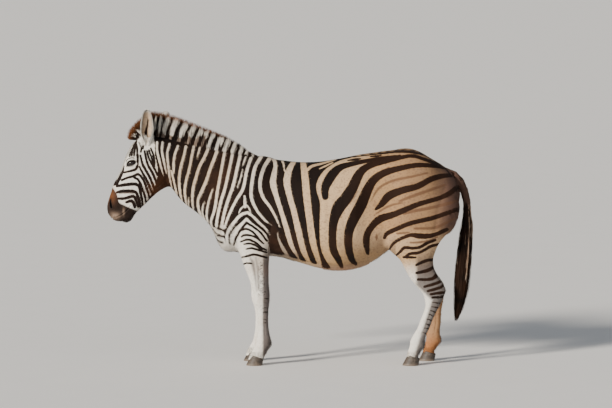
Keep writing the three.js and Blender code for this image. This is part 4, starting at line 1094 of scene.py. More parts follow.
def nose_folds(p):
    """Heights in mm of the nostrils, the mouth and the muzzle's wrinkles."""
    along, upper = in_frame(HEAD, p[:, 0], p[:, 2])
    to_nostril = path_distance(along, upper, NOSTRIL)
    nostril = 2.6 * hump(to_nostril - 3.5, 3.2) - 16 * (1 - step(to_nostril, -5.5, 0.5))
    rise = np.where((upper > -100) & (np.abs(p[:, 1]) > 10), nostril, 0)
    to_mouth = path_distance(along, upper, MOUTH)
    rise += 1.6 * hump(to_mouth - 8, 6) - 4.2 * hump(to_mouth, 2.6)
    wrinkles = np.sin(along * 0.62 + 0.8 * np.sin(upper * 0.1))
    rise += 0.5 * wrinkles * step(-upper, 5, 30) * step(along, 400, 430)
    return np.where((p[:, 0] < -860) & (along > 380), rise, 0)


def relief(p, normal):
    """The skin with its details: points moved along their normals, and round the eyes over the eyeballs."""
    moved = p + normal * (folds(p, normal) + nose_folds(p))[:, None]
    a, b, c = eye_frame(moved)
    near = (c > -12) & (np.hypot(a, b) < 50) & (p[:, 0] < -900)
    off = lid_edge(a, b)
    over_ball = np.sqrt(np.maximum(LID_REACH**2 - a**2 - b**2, 0))
    behind_lid = np.sqrt(np.maximum((EYE["radius"] - 2.5) ** 2 - a**2 - b**2, 0))
    fold = np.where(b > 0, -1.6 * hump(off - 7.5, 1.7), -0.9 * hump(off - 6, 1.5))
    lid = smooth_max(c, over_ball - 0.45 * np.maximum(off - 3, 0), 5) + fold + hump(off - 3, 3)
    target = blend(behind_lid, lid, step(off, -0.9, 0.9))
    change = np.where(near, (target - c) * (1 - step(np.hypot(a, b), 38, 48)), 0)
    outwards = np.repeat([EYE_OUT], len(p), 0)
    outwards[:, 1] *= np.where(moved[:, 1] < 0, -1.0, 1.0)
    return moved + outwards * change[:, None]


# ---------- The unwrap that skin and coat share ----------
# The place of each chart in the unit square: left edge, lower edge, width, height.
CHART_BOXES = {
    "trunk": (0.01, 0.01, 0.60, 0.88),
    "neck": (0.63, 0.01, 0.16, 0.52),
    "head": (0.81, 0.01, 0.18, 0.42),
    "fore_near": (0.63, 0.56, 0.17, 0.20),
    "fore_far": (0.82, 0.56, 0.17, 0.20),
    "hind_near": (0.63, 0.78, 0.17, 0.20),
    "hind_far": (0.82, 0.78, 0.17, 0.20),
}
CHARTS = list(CHART_BOXES)
FORE_TOP = 655
HIND_TOP = 745
TRUNK_AXIS = 985
# Planes between the charts: a place on the plane, and the direction it faces.
NECK_FOOT = (-355, 1035, math.radians(157))
HEAD_FOOT = (-795, 1280, math.radians(191))


def past(p, foot):
    x, z, turn = foot
    return (p[:, 0] - x) * math.cos(turn) + (p[:, 2] - z) * math.sin(turn)


def chart_of(p):
    """The number of the chart that takes each point."""
    label = np.zeros(len(p), int)
    label[past(p, NECK_FOOT) > 0] = 1
    label[(past(p, HEAD_FOOT) > 0) & (p[:, 0] < -700)] = 2
    fore = (p[:, 2] < FORE_TOP) & (p[:, 0] < 200)
    hind = (p[:, 2] < HIND_TOP - 0.32 * (p[:, 0] - 795)) & (p[:, 0] > 500) & (np.abs(p[:, 1]) > 20)
    label[fore] = 3 + (p[fore, 1] > 0)
    label[hind] = 5 + (p[hind, 1] > 0)
    return label


def chart_place(p, label):
    """Along and angle about each chart's axis: along as a share, the angle in radians."""
    along, angle = np.zeros(len(p)), np.zeros(len(p))
    for i, name in enumerate(CHARTS):
        pick = label == i
        if not pick.any():
            continue
        q = p[pick]
        if name == "trunk":
            r = np.hypot(q[:, 1], q[:, 2] - TRUNK_AXIS)
            t = q[:, 0] - 0.7 * r * (step(q[:, 0], 800, 1000) - step(-q[:, 0], 260, 420))
            share = (t + 620) / 1750
            turn = np.arctan2(q[:, 1], q[:, 2] - TRUNK_AXIS)
        elif name == "neck":
            t, u = in_frame(NECK, q[:, 0], q[:, 2])
            share = (t + 180) / 880
            turn = np.arctan2(q[:, 1], u + 60)
        elif name == "head":
            t, u = in_frame(HEAD, q[:, 0], q[:, 2])
            r = np.hypot(q[:, 1], u + 25)
            share = (t - 0.7 * r * step(t, 400, 520) + 260) / 840
            turn = np.arctan2(q[:, 1], u + 25)
        else:
            leg = LEGS[name[:4]]
            s = station_at(leg["stations"], q[:, 2])
            dx = q[:, 0] - far_shift(leg, q[:, 1], q[:, 2]) - (s[0] + s[1]) / 2
            dy = np.abs(q[:, 1]) - s[6]
            r = np.hypot(dx, dy)
            share = (q[:, 2] + 0.7 * r * (1 - step(q[:, 2], 25, 60)) - 20) / 830
            turn = np.arctan2(dy, dx)
        along[pick], angle[pick] = share, turn
    return along, angle


def chart_uv(along, angle, label):
    box = np.array([CHART_BOXES[c] for c in CHARTS])[label]
    u = box[:, 0] + box[:, 2] * np.clip(along, 0, 1)
    v = box[:, 1] + box[:, 3] * (0.5 + 0.47 * angle / math.pi)
    return np.stack([u, v], 1)


def uv_of(p):
    """Where the unwrap has single points of the skin."""
    label = chart_of(p)
    return chart_uv(*chart_place(p, label), label)


# ---------- Meshes ----------
def finish_mesh(name, points, tris, values=None, uv=None, normals=None):
    """A mesh object in metres from points in mm, triangles, numbers per point and a map per corner."""
    mesh = bpy.data.meshes.new(name)
    mesh.vertices.add(len(points))
    mesh.vertices.foreach_set("co", (np.asarray(points) * MM).astype(np.float32).ravel())
    tris = np.asarray(tris)
    mesh.loops.add(tris.size)
    mesh.loops.foreach_set("vertex_index", tris.astype(np.int32).ravel())
    mesh.polygons.add(len(tris))
    mesh.polygons.foreach_set("loop_start", np.arange(0, tris.size, tris.shape[1], dtype=np.int32))
    mesh.update(calc_edges=True)
    mesh.polygons.foreach_set("use_smooth", np.full(len(tris), True))
    set_values(mesh, values)
    if uv is not None:
        layer = mesh.uv_layers.new(name="OFBake")
        layer.data.foreach_set("uv", uv.astype(np.float32).ravel())
    mesh.validate()
    if normals is not None:
        mesh.normals_split_custom_set_from_vertices(np.asarray(normals, float).tolist())
    piece = bpy.data.objects.new(name, mesh)
    bpy.context.scene.collection.objects.link(piece)
    return piece


# The numbers per point that the looks read, three to a mesh attribute.
PACKS = {
    "mark_a": ("stripe", "shadow", "warm"),
    "mark_b": ("grey_and_shade", "rust", "brown"),
    "mark_c": ("muzzle", "pale", "bare"),
    "mark_d": ("lie", "vary", "spare"),
}


def set_values(mesh, values):
    """Puts the named numbers on the mesh; one that isn't given is 0."""
    if values is None:
        return
    n = len(mesh.vertices)
    for pack, names in PACKS.items():
        data = np.stack([np.broadcast_to(values.get(k, 0.0), n) for k in names], 1)
        layer = mesh.attributes.new(pack, "FLOAT_VECTOR", "POINT")
        layer.data.foreach_set("vector", data.astype(np.float32).ravel())


def dress(piece, slot, material, *nodes):
    piece.data.materials.append(material)
    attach(piece, "root")
    if nodes:
        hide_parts(*nodes)
    return piece


def ring_net(rings, around):
    """Triangles between neighbouring rings of points."""
    tris = []
    for r in range(rings - 1):
        for i in range(around):
            a, b = r * around + i, r * around + (i + 1) % around
            tris += [(a, b, b + around), (a, b + around, a + around)]
    return tris


def closed_net(rings, around):
    """The same with a fan over each end; the two fans' middle points come after the rings' points."""
    tris = ring_net(rings, around)
    first, last = rings * around, rings * around + 1
    end = (rings - 1) * around
    for i in range(around):
        j = (i + 1) % around
        tris += [(first, j, i), (last, end + i, end + j)]
    return np.array(tris)


UV_WIDE = 0.003  # of the unit square, for one spike
UV_HALF = UV_WIDE / 2


def spikes(name, lines, sides, widths, values, uv_at, normals=None, depth=0.6, uv_long=UV_WIDE):
    """Closed three-sided spikes in one mesh. lines: (n, k, 3) centre lines in mm, sides: (n, 3) directions of
    the width, widths: (n, k - 1) half widths, the last line point being the tip."""
    n, k, _ = lines.shape
    run = lines[:, -1] - lines[:, 0]
    up = np.cross(sides, run)
    up /= np.maximum(np.linalg.norm(up, axis=1), 1e-6)[:, None]
    rings = []
    for i in range(k - 1):
        w = widths[:, i][:, None]
        rings += [lines[:, i] + sides * w, lines[:, i] + up * w * depth, lines[:, i] - sides * w]
    points = np.concatenate([np.stack(rings, 1), lines[:, -1:]], 1)
    per = points.shape[1]
    end = 3 * (k - 2)
    tris = [(0, 2, 1)] + ring_net(k - 1, 3)
    tris += [(end + j, end + (j + 1) % 3, per - 1) for j in range(3)]
    tris = np.array(tris)[:, ::-1]
    all_tris = (np.arange(n)[:, None, None] * per + tris[None]).reshape(-1, 3)
    spread = {}
    for key, value in values.items():
        value = np.asarray(value, float)
        if value.ndim == 1:
            value = value[:, None]
        spread[key] = np.broadcast_to(value, (n, per)).reshape(-1)
    level = np.array([i / (k - 1) for i in range(k - 1) for _ in range(3)] + [1.0])
    across = np.array([j / 2 for _ in range(k - 1) for j in range(3)] + [0.5])
    offset = np.stack([across * UV_WIDE, level * uv_long], 1)
    corner = (uv_at[:, None, :] + offset[None]).reshape(-1, 2)[all_tris.ravel()]
    shade = None if normals is None else np.repeat(normals, per, 0)
    return finish_mesh(name, points.reshape(-1, 3), all_tris, spread, corner, shade)


# ---------- Materials ----------
class Nodes:
    """Short ways to make and join the nodes of one material."""

    def __init__(self, name):
        self.material = bpy.data.materials.new(name)
        self.material.use_nodes = True
        self.tree = self.material.node_tree
        self.shader = self.tree.nodes["Principled BSDF"]

    def new(self, kind, **fields):
        node = self.tree.nodes.new("ShaderNode" + kind)
        for key, value in fields.items():
            setattr(node, key, value)
        return node

    def put(self, socket, value):
        if isinstance(value, bpy.types.NodeSocket):
            self.tree.links.new(value, socket)
        else:
            socket.default_value = value

    def math(self, operation, a, b):
        node = self.new("Math", operation=operation)
        self.put(node.inputs[0], a)
        self.put(node.inputs[1], b)
        return node.outputs[0]

    def times(self, a, b):
        return self.math("MULTIPLY", a, b)

    def plus(self, a, b):
        return self.math("ADD", a, b)

    def minus(self, a, b):
        return self.math("SUBTRACT", a, b)

    def mix(self, share, a, b, blend="MIX"):
        node = self.new("Mix", data_type="RGBA", blend_type=blend)
        self.put(node.inputs[0], share)
        self.put(node.inputs[6], a if isinstance(a, bpy.types.NodeSocket) else (*a, 1))
        self.put(node.inputs[7], b if isinstance(b, bpy.types.NodeSocket) else (*b, 1))
        return node.outputs[2]

    def ramp(self, value, low, high):
        node = self.new("MapRange", interpolation_type="SMOOTHSTEP")
        self.put(node.inputs[0], value)
        node.inputs[1].default_value = low
        node.inputs[2].default_value = high
        return node.outputs[0]

    def noise(self, scale, detail, vector, rough=0.6):
        node = self.new("TexNoise")
        node.inputs["Scale"].default_value = scale
        node.inputs["Detail"].default_value = detail
        node.inputs["Roughness"].default_value = rough
        self.put(node.inputs["Vector"], vector)
        return node.outputs["Fac"]

    def place(self):
        return self.new("TexCoord").outputs["Object"]

    def stretched(self, scale, vector):
        node = self.new("Mapping")
        node.inputs["Scale"].default_value = scale
        self.put(node.inputs["Vector"], vector)
        return node.outputs[0]

    def pack(self, name):
        attribute = self.new("Attribute", attribute_name=name)
        split = self.new("SeparateXYZ")
        self.put(split.inputs[0], attribute.outputs["Vector"])
        return dict(zip(PACKS[name], split.outputs))

    def bump(self, height, distance, strength, under=None):
        node = self.new("Bump")
        node.inputs["Strength"].default_value = strength
        node.inputs["Distance"].default_value = distance
        self.put(node.inputs["Height"], height)
        if under is not None:
            self.put(node.inputs["Normal"], under)
        return node.outputs[0]

    def done(self, colour, roughness, normal=None, **fixed):
        self.put(self.shader.inputs["Base Color"], colour)
        self.put(self.shader.inputs["Roughness"], roughness)
        if normal is not None:
            self.put(self.shader.inputs["Normal"], normal)
        for key, value in fixed.items():
            self.shader.inputs[key.replace("_", " ")].default_value = value
        return self.material


# Colours of the coat, linear.
WHITE = (0.80, 0.77, 0.70)
TAN = (0.53, 0.335, 0.16)
DARK = (0.0085, 0.0054, 0.0044)
BROWN = (0.048, 0.021, 0.011)
# Greyer, browner light coat: painted shade on the body, and greyer hair in the tail and ears.
GREY_AND_SHADE = (0.064, 0.047, 0.047)
RUST = (0.36, 0.120, 0.032)
SHADOW = (0.13, 0.068, 0.040)
MUZZLE = (0.022, 0.014, 0.011)
PALE = (0.36, 0.25, 0.18)
BARE = (0.010, 0.008, 0.008)
MOTTLE = (0.50, 0.36, 0.24)
SPECK = (0.26, 0.16, 0.10)


def coat_material(name, skin):
    """The coat's colours from its markings. On the skin the stripes' edges are more ragged than on the tufts,
    and there is a grain of hair."""
    m = Nodes(name)
    mark = {}
    for pack in PACKS:
        mark.update(m.pack(pack))
    place = m.place()
    along_body = m.noise(1.0, 3, m.stretched((60, 420, 420), place), 0.7)
    along_legs = m.noise(1.0, 3, m.stretched((420, 420, 60), place), 0.7)
    lie = m.new("Mix", data_type="FLOAT")
    for i, value in ((0, mark["lie"]), (2, along_body), (3, along_legs)):
        m.put(lie.inputs[i], value)
    hair = lie.outputs[0]
    broad = m.noise(9.0, 4, place)
    ragged = m.times(m.minus(hair, 0.5), 5.5 if skin else 2.5)

    light = m.mix(mark["warm"], WHITE, TAN)
    light = m.mix(m.times(m.ramp(broad, 0.42, 0.7), 0.22), light, MOTTLE)
    speck = m.ramp(m.noise(85.0, 3, place), 0.48, 0.66)
    light = m.mix(m.times(speck, m.plus(0.17, m.times(mark["warm"], 0.45))), light, SPECK)
    # Painted shade on the body, and greyer hair in the tail and ears.
    light = m.mix(mark["grey_and_shade"], light, GREY_AND_SHADE)
    light = m.mix(mark["rust"], light, RUST)
    light = m.mix(m.times(m.ramp(m.plus(mark["shadow"], ragged), -3.0, 3.5), 0.82), light, SHADOW)
    dark = m.mix(m.times(mark["brown"], m.ramp(broad, 0.3, 0.62)), DARK, BROWN)
    colour = m.mix(m.ramp(m.plus(mark["stripe"], ragged), -1.3, 1.3), light, dark)
    muzzle = m.ramp(m.plus(mark["muzzle"], m.times(ragged, 0.06)), 0.3, 0.75)
    colour = m.mix(muzzle, colour, MUZZLE)
    colour = m.mix(m.times(mark["rust"], 0.35), colour, RUST)
    colour = m.mix(m.times(mark["pale"], 0.8), colour, PALE)
    tone = m.times(m.plus(m.times(hair, 0.55), 0.74), m.plus(m.times(mark["vary"], 0.5), 1.0))
    grey = m.new("CombineColor")
    for i in range(3):
        m.put(grey.inputs[i], tone)
    colour = m.mix(0.9, colour, grey.outputs[0], "MULTIPLY")
    colour = m.mix(mark["bare"], colour, BARE)
    if not skin:
        return m.done(colour, m.plus(0.6, m.times(hair, 0.14)), Sheen_Weight=0.01, Specular_IOR_Level=0.08)
    bump = m.bump(hair, 0.0022, 0.55)
    bump = m.bump(m.noise(420.0, 2, place), 0.0008, 0.35, bump)
    rough = m.minus(m.minus(0.74, m.times(mark["bare"], 0.34)), m.times(muzzle, 0.14))
    return m.done(colour, rough, bump, Sheen_Weight=0.01, Specular_IOR_Level=0.09)


# ---------- The skin ----------
FLESH_NODES = ["head", "neck", "trunk", "tail_dock"]
for pair in ("fore", "hind"):
    for side in ("left", "right"):
        FLESH_NODES += [f"{pair}_{side}_upper_leg", f"{pair}_{side}_lower_leg"]


def fan(faces):
    """Triangles of many-sided faces."""
    by_size = {}
    for f in faces:
        by_size.setdefault(len(f), []).append(f)
    tris = []
    for size, group in sorted(by_size.items()):
        g = np.array(group)
        tris += [g[:, [0, i, i + 1]] for i in range(1, size - 1)]
    return np.concatenate(tris)


def skin_uv(points, tris):
    """The unwrap at each corner: a triangle keeps to one chart, and to one side of its seam."""
    middle = points[tris].mean(1)
    label = chart_of(middle)
    _, base = chart_place(middle, label)
    corners = []
    for j in range(3):
        along, angle = chart_place(points[tris[:, j]], label)
        angle = angle + 2 * math.pi * np.round((base - angle) / (2 * math.pi))
        corners.append(chart_uv(along, angle, label))
    return np.stack(corners, 1).reshape(-1, 2)


def lie_share(p):
    """1 where the hair lies downwards, on the legs and the face, and 0 where it lies along the body."""
    along, _ = in_frame(HEAD, p[:, 0], p[:, 2])
    return np.maximum(step(-p[:, 2], -700, -600), (p[:, 0] < -800) * step(along, 0, 80))


def all_values(p, normals):
    values = markings(p, normals)
    values["lie"] = lie_share(p)
    return values


def make_skin():
    points, normals, faces = skin_mesh()
    tris = fan(faces)
    moved = relief(points, normals)
    skin = finish_mesh("skin", moved, tris, all_values(moved, normals), skin_uv(moved, tris))
    dress(skin, "coat", coat_material("skin_coat", True), *FLESH_NODES)
    return moved, normals, tris


# ---------- Eyes and hooves ----------
def eye_material():
    m = Nodes("eye_glass")
    mark = m.pack("mark_a")
    fibre = m.noise(160.0, 3, m.place())
    iris = m.mix(m.ramp(fibre, 0.3, 0.7), (0.011, 0.006, 0.004), (0.030, 0.014, 0.008))
    colour = m.mix(m.ramp(mark["stripe"], -0.6, 0.6), iris, (0.0015, 0.0015, 0.002))
    colour = m.mix(m.ramp(mark["shadow"], -1.0, 1.5), colour, (0.05, 0.032, 0.026))
    bump = m.bump(m.noise(60.0, 2, m.place()), 0.0002, 0.2)
    return m.done(colour, 0.08, bump, Coat_Weight=0.7, Coat_Roughness=0.03, Specular_IOR_Level=0.5)


def make_eyes():
    """Eyeballs with a level pupil, where the cornea stands a little proud. Here stripe marks the pupil, and
    shadow the ball beyond the iris."""
    material = eye_material()
    around, rings = 56, 39
    out = np.linspace(0, math.pi, rings + 2)[1:-1]
    turn = np.linspace(0, 2 * math.pi, around, endpoint=False)
    o, t = np.meshgrid(out, turn, indexing="ij")
    local = np.stack([np.sin(o) * np.cos(t), np.sin(o) * np.sin(t), np.cos(o)], -1).reshape(-1, 3)
    local = np.vstack([local, [[0, 0, 1], [0, 0, -1]]])
    radius = EYE["radius"] - 0.7 + 0.5 * step(local[:, 2], 0.72, 0.9)
    a, b = EYE["radius"] * local[:, 0], EYE["radius"] * local[:, 1]
    pupil = 6 * (1 - np.hypot(a / 9.5, b / 5))
    white = np.hypot(a / 1.06, b) - 17
    ahead = local[:, 2] > 0
    values = {"stripe": np.where(ahead, pupil, -6), "shadow": np.where(ahead, white, 6)}
    for name, sign in (("left", -1), ("right", 1)):
        points = (radius[:, None] * local @ np.stack([EYE_NOSE, EYE_UP, EYE_OUT]) + EYE_AT) * [1, sign, 1]
        tris = closed_net(rings, around)[:, ::-sign]
        eye = finish_mesh("eyeball_" + name, points, tris, values)
        dress(eye, "eye", material, "eye_" + name)


def hoof_material():
    m = Nodes("hoof_horn")
    place = m.place()
    rings = m.noise(1.0, 2, m.stretched((14, 14, 420), place))
    grain = m.noise(1.0, 3, m.stretched((500, 500, 30), place))
    worn = m.noise(40.0, 4, place)
    colour = m.mix(m.ramp(rings, 0.3, 0.7), (0.035, 0.027, 0.022), (0.085, 0.066, 0.052))
    colour = m.mix(m.math("MULTIPLY", m.ramp(worn, 0.5, 0.75), 0.5), colour, (0.20, 0.16, 0.12))
    height = m.new("SeparateXYZ")
    m.put(height.inputs[0], place)
    dust = m.ramp(height.outputs[2], 0.022, 0.0)
    colour = m.mix(m.math("MULTIPLY", dust, 0.55), colour, (0.26, 0.20, 0.15))
    bump = m.bump(rings, 0.0012, 0.5)
    bump = m.bump(grain, 0.0006, 0.35, bump)
    return m.done(colour, m.math("ADD", 0.42, m.math("MULTIPLY", worn, 0.25)), bump, Specular_IOR_Level=0.4)


# The hoof's rings: level, how far back, half its length and half its width.
HOOF_RINGS = np.array([(0, 0, 55, 45), (40, 14, 48, 40), (90, 30, 40, 36)], float)
CORONET_HEIGHT = 62
CORONET_SLOPE = 0.325
CORONET_INSET = 9
# Rings of the hollow sole: how far out from the wall, and how high. Then each hoof: name, side, along, aside.
SOLE = [(-30, 3.5), (-16, 3.0), (-8, 0.4)]
HOOVES = [
    ("fore_left", -1, -224, 118),
    ("fore_right", 1, -224 + FORELEG["far_step"], 118),
    ("hind_left", -1, 760, 121),
    ("hind_right", 1, 760 + HINDLEG["far_step"], 121),
]


def hoof_point(turn, z, at_x, at_y, sign, grow=0.0):
    """The wall of a hoof at each turn and level, or further out by grow."""
    middle, half_long, half_wide = (np.interp(z, HOOF_RINGS[:, 0], HOOF_RINGS[:, k]) for k in (1, 2, 3))
    heel = 1 - 0.12 * np.maximum(np.cos(turn), 0)
    x = at_x + middle + (half_long + grow) * heel * np.cos(turn)
    y = sign * at_y + (half_wide + grow) * np.sin(turn)
    return np.stack([x, y, z], -1)


def coronet(turn, at_x, at_y, sign):
    """The height at which the hair begins, at each turn round a hoof."""
    z = np.full_like(turn, CORONET_HEIGHT)
    for _ in range(8):
        x = hoof_point(turn, z, at_x, at_y, sign)[:, 0]
        z = CORONET_HEIGHT - CORONET_SLOPE * (x - at_x)
    return z


def make_hooves():
    material = hoof_material()
    around, high = 56, 26
    turn = np.linspace(0, 2 * math.pi, around, endpoint=False)
    for name, sign, at_x, at_y in HOOVES:
        top = coronet(turn, at_x, at_y, sign)
        rings = [hoof_point(turn, np.zeros(around), at_x, at_y, sign, g) + [0, 0, lift] for g, lift in SOLE]
        for i in range(high + 1):
            s = i / high
            growth_ring = 0.45 * math.sin(s * 34) * min(1, 4 * s)
            rounding = 1.6 * (1 - min(1, s * 12)) + 2.2 * max(0, s * 20 - 19)
            level = 0.4 + (top - 0.4) * s
            rings.append(hoof_point(turn, level, at_x, at_y, sign, growth_ring - rounding))
        rings.append(hoof_point(turn, top - 1.0, at_x, at_y, sign, -CORONET_INSET))
        points = np.concatenate(rings + [rings[0].mean(0)[None], rings[-1].mean(0)[None]])
        hoof = finish_mesh("horn_" + name, points, closed_net(len(rings), around))
        dress(hoof, "hoof", material, name + "_hoof")


# ---------- Hair ----------
def spread_on(points, normals, tris, count, weight):
    """Seeded random places on the skin: where, the normal there. weight gives each triangle's share."""
    a, b, c = points[tris[:, 0]], points[tris[:, 1]], points[tris[:, 2]]
    area = np.linalg.norm(np.cross(b - a, c - a), axis=1) * weight
    pick = np.searchsorted(np.cumsum(area) / area.sum(), rng.random(count))
    pick = np.minimum(pick, len(tris) - 1)
    u, v = rng.random(count), rng.random(count)
    over = u + v > 1
    u[over], v[over] = 1 - u[over], 1 - v[over]
    where = a[pick] + u[:, None] * (b - a)[pick] + v[:, None] * (c - a)[pick]
    n = normals[tris[pick]].mean(1)
    return where, n / np.linalg.norm(n, axis=1)[:, None]


def unit(v):
    return v / np.maximum(np.linalg.norm(v, axis=-1, keepdims=True), 1e-9)


def comb(p, n):
    """The lie of the coat: back along the body, down the neck, the legs, the face and the tail."""
    head = step(past(p, HEAD_FOOT), -20, 60) * (p[:, 0] < -700)
    d = np.broadcast_to([0.94, 0, -0.34], p.shape)
    for share, lie in (
        (step(past(p, NECK_FOOT), -60, 120), (0.72, 0, -0.69)),
        (head, (-0.45, 0, -0.89)),
        (lie_share(p) * (1 - head), (0.1, 0, -1.0)),
        (step(p[:, 0], 1060, 1090), (0.15, 0, -1.0)),
    ):
        d = blend(d, np.array(lie), share[:, None])
    return unit(d - (d * n).sum(1)[:, None] * n)


def tufts(name, where, n, length, half, lift, material, ragged=0.16, drop=None):
    """Short flat tufts from the given roots, each a closed spike that lies along the skin. With a drop they
    lean that way too, and bend."""
    count = len(where)
    d = comb(where, n)
    if drop is not None:
        d = unit(d + drop)
        d = unit(d - np.minimum((d * n).sum(1), 0)[:, None] * n)
    side = unit(np.cross(n, d))
    turn = rng.normal(0, ragged, count)[:, None]
    d, side = d * np.cos(turn) + side * np.sin(turn), side * np.cos(turn) - d * np.sin(turn)
    size = (length * (0.7 + 0.6 * rng.random(count)))[:, None]
    tip = where + d * size + n * (lift * (0.5 + rng.random(count)))[:, None]
    along = [where - n * 0.6, tip]
    widths = [half]
    if drop is not None:
        along.insert(1, where + d * size * 0.5 + n * lift * 0.9)
        widths.append(half * 0.8)
    values = all_values(where, n)
    values["vary"] = rng.normal(0, 0.16, count)
    shade = unit(n + 0.125 * rng.normal(0, 1, (count, 3)))
    widths = np.broadcast_to(widths, (count, len(widths)))
    piece = spikes(name, np.stack(along, 1), side, widths, values, uv_of(where) - UV_HALF, shade, depth=0.5)
    dress(piece, "coat", material)


def make_coat(points, normals, tris):
    material = coat_material("tuft_coat", False)
    middle = points[tris].mean(1)
    label = chart_of(middle)
    along, upper = in_frame(HEAD, middle[:, 0], middle[:, 2])
    a, b, c = eye_frame(middle)
    on_hoof = middle[:, 2] < 58
    on_eye = (np.hypot(a / 30, b / 16) < 1.1) & (c > 0)
    in_nostril = (label == 2) & (along > 440) & (path_distance(along, upper, NOSTRIL) < 3)
    on_lips = (label == 2) & (along > 430) & (path_distance(along, upper, MOUTH) < 5)
    cover = np.where(on_hoof | on_eye | in_nostril, 0, np.where(on_lips, 0.15, 1))
    # A group: name, where, how many, length, half width and lift in mm.
    for name, pick, count, length, half, lift in (
        ("coat_trunk_left", (label == 0) & (middle[:, 1] < 0), 24000, 11, 0.95, 1.1),
        ("coat_trunk_right", (label == 0) & (middle[:, 1] >= 0), 24000, 11, 0.95, 1.1),
        ("coat_neck", label == 1, 22000, 11, 0.9, 1.1),
        ("coat_head", label == 2, 24000, 5.5, 0.5, 0.5),
        ("coat_forelegs", (label == 3) | (label == 4), 15000, 7, 0.6, 0.7),
        ("coat_hindlegs", (label == 5) | (label == 6), 19000, 8, 0.65, 0.8),
    ):
        where, n = spread_on(points, normals, tris, count, pick * cover)
        size = np.full(count, float(length))
        if name == "coat_head":
            size *= 1 - 0.45 * step(in_frame(HEAD, where[:, 0], where[:, 2])[0], 250, 480)
        if "legs" in name:
            size *= 0.6 + 0.4 * step(where[:, 2], 120, 500)
        tufts(name, where, n, size, half, lift, material)
    make_fringes(points, normals, tris, material)


def make_fringes(points, normals, tris, material):
    """Longer hair where it breaks the outline: over the hooves, behind the fetlocks, under jaw and belly."""
    middle = points[tris].mean(1)
    facing = normals[tris].mean(1)
    label = chart_of(middle)
    trunk, head, leg = label == 0, label == 2, label >= 3
    x, level = middle[:, 0], middle[:, 2]
    back = leg & (facing[:, 0] > 0.35)
    low = -facing[:, 2]
    chest = (trunk | (label == 1)) & (x < -330) & (low > -0.2) & (level < 900)
    # A fringe: name, where, how many, length, half width and lift in mm, and the way it drops.
    for name, pick, count, length, half, lift, drop in (
        ("fetlocks", back & (level > 85) & (level < 165), 1800, 22, 0.7, 3.0, (0.25, 0, -0.4)),
        ("pasterns", leg & (level > 60) & (level < 92), 5200, 15, 0.75, 2.2, (0, 0, -0.3)),
        ("cannons", back & (level > 165) & (level < 520), 2600, 11, 0.6, 2.2, (0.3, 0, -0.2)),
        ("belly", trunk & (low > 0.75) & (level < 760), 4200, 17, 0.9, 2.5, (0.1, 0, -0.25)),
        ("chest", chest, 3000, 16, 0.9, 2.5, (0, 0, -0.3)),
        ("jaw", head & (low > 0.35) & (x < -850), 3600, 10, 0.5, 2.2, (0, 0, -0.2)),
        ("thighs", trunk & (x > 980) & (level < 1080), 2400, 14, 0.9, 2.0, (0.2, 0, -0.2)),
        ("dock", (x > 1035) & (level > 930) & (level < 1190), 3600, 19, 0.9, 2.5, (0.1, 0, -0.5)),
    ):
        where, n = spread_on(points, normals, tris, count, pick)
        tufts("fringe_" + name, where, n, length, half, lift, material, 0.22, np.array(drop))


def strips(count):
    """Places for long narrow strips in the unit square, neighbours side by side, and the length of one."""
    columns = 310
    high = 1 / math.ceil(count / columns)
    i = np.arange(count)
    return np.stack([(i % columns) / columns, (i // columns) * high], 1), high * 0.92


# The mane and the forelock, row by row: along and up of the root and of the tip, and half the width.
MANE = [
    (-880, 1440, -916, 1590, 27), (-850, 1436, -866, 1608, 27), (-805, 1430, -810, 1603, 27),
    (-745, 1418, -748, 1585, 27), (-685, 1404, -687, 1566, 26), (-622, 1388, -625, 1541, 25),
    (-560, 1374, -562, 1516, 24), (-498, 1361, -500, 1491, 23), (-435, 1346, -437, 1465, 21),
    (-372, 1333, -375, 1433, 19), (-310, 1318, -312, 1396, 17), (-260, 1307, -262, 1352, 15),
    (-215, 1296, -213, 1322, 13),
]
FORELOCK = [
    (-957, 1420, -1020, 1412, 15), (-950, 1426, -1031, 1441, 19), (-940, 1430, -1023, 1477, 22),
    (-926, 1434, -1000, 1511, 24), (-907, 1438, -963, 1549, 26), (-882, 1440, -920, 1588, 27),
]
MANE_LIGHT = stripes("""
-84.6,148.3,.9 -83.6,157.3,.9;
-82,148.7,1.3 -80.7,156.8,1.5;
-78.3,148,2.2 -76.2,155.8,2.3;
-73.9,147,2.9 -70.9,155,3;
-68.3,146.4,3 -64.9,152.5,3.1;
-62.3,146,2.8 -59.8,150.7,2.7;
-56.7,146,2.6 -55.2,149.2,2.2;
-52.6,145.8,2.3 -51.2,148.2,1.8;
-51.2,138,1.9 -47.8,146.6,1.7;
-48.5,143,.7 -46.8,146.4,.8;
-46.7,136,2.2 -44.1,143,2.2;
-43.3,139.5,.7 -41.6,145.5,.8;
-41.2,135.5,2 -38.7,143,2;
-38.6,139,.7 -37,143.2,.7;
-36.1,135,1.9 -33.8,141.5,1.8;
-31.4,134,1.6 -29.3,140,1.4;
-27.3,133.5,1.2 -25.7,138.2,1;
-23.5,133,1.2 -22.3,136.6,1;
-98.9,151.2,.5 -95,148.6,.6 -92.6,146.2,.7;
-103.2,146,.35 -96.5,145.4,.5
""")
# The lower parts of the front light locks, painted brown as the shade under the mane's upper hair.
MANE_SHADED_FEET = stripes("""
-83.2,140,1.3 -82,148.7,1.1;
-79.8,140,1.3 -78.3,148,1.3;
-75.4,139,1.4 -73.9,147,1.5;
-70.2,138,1.5 -68.3,146.4,1.8;
-65.1,137,1.6 -62.3,146,1.7;
-60.2,137,1.6 -56.7,146,1.8;
-56.3,137,1.4 -52.6,146,1.7
""")


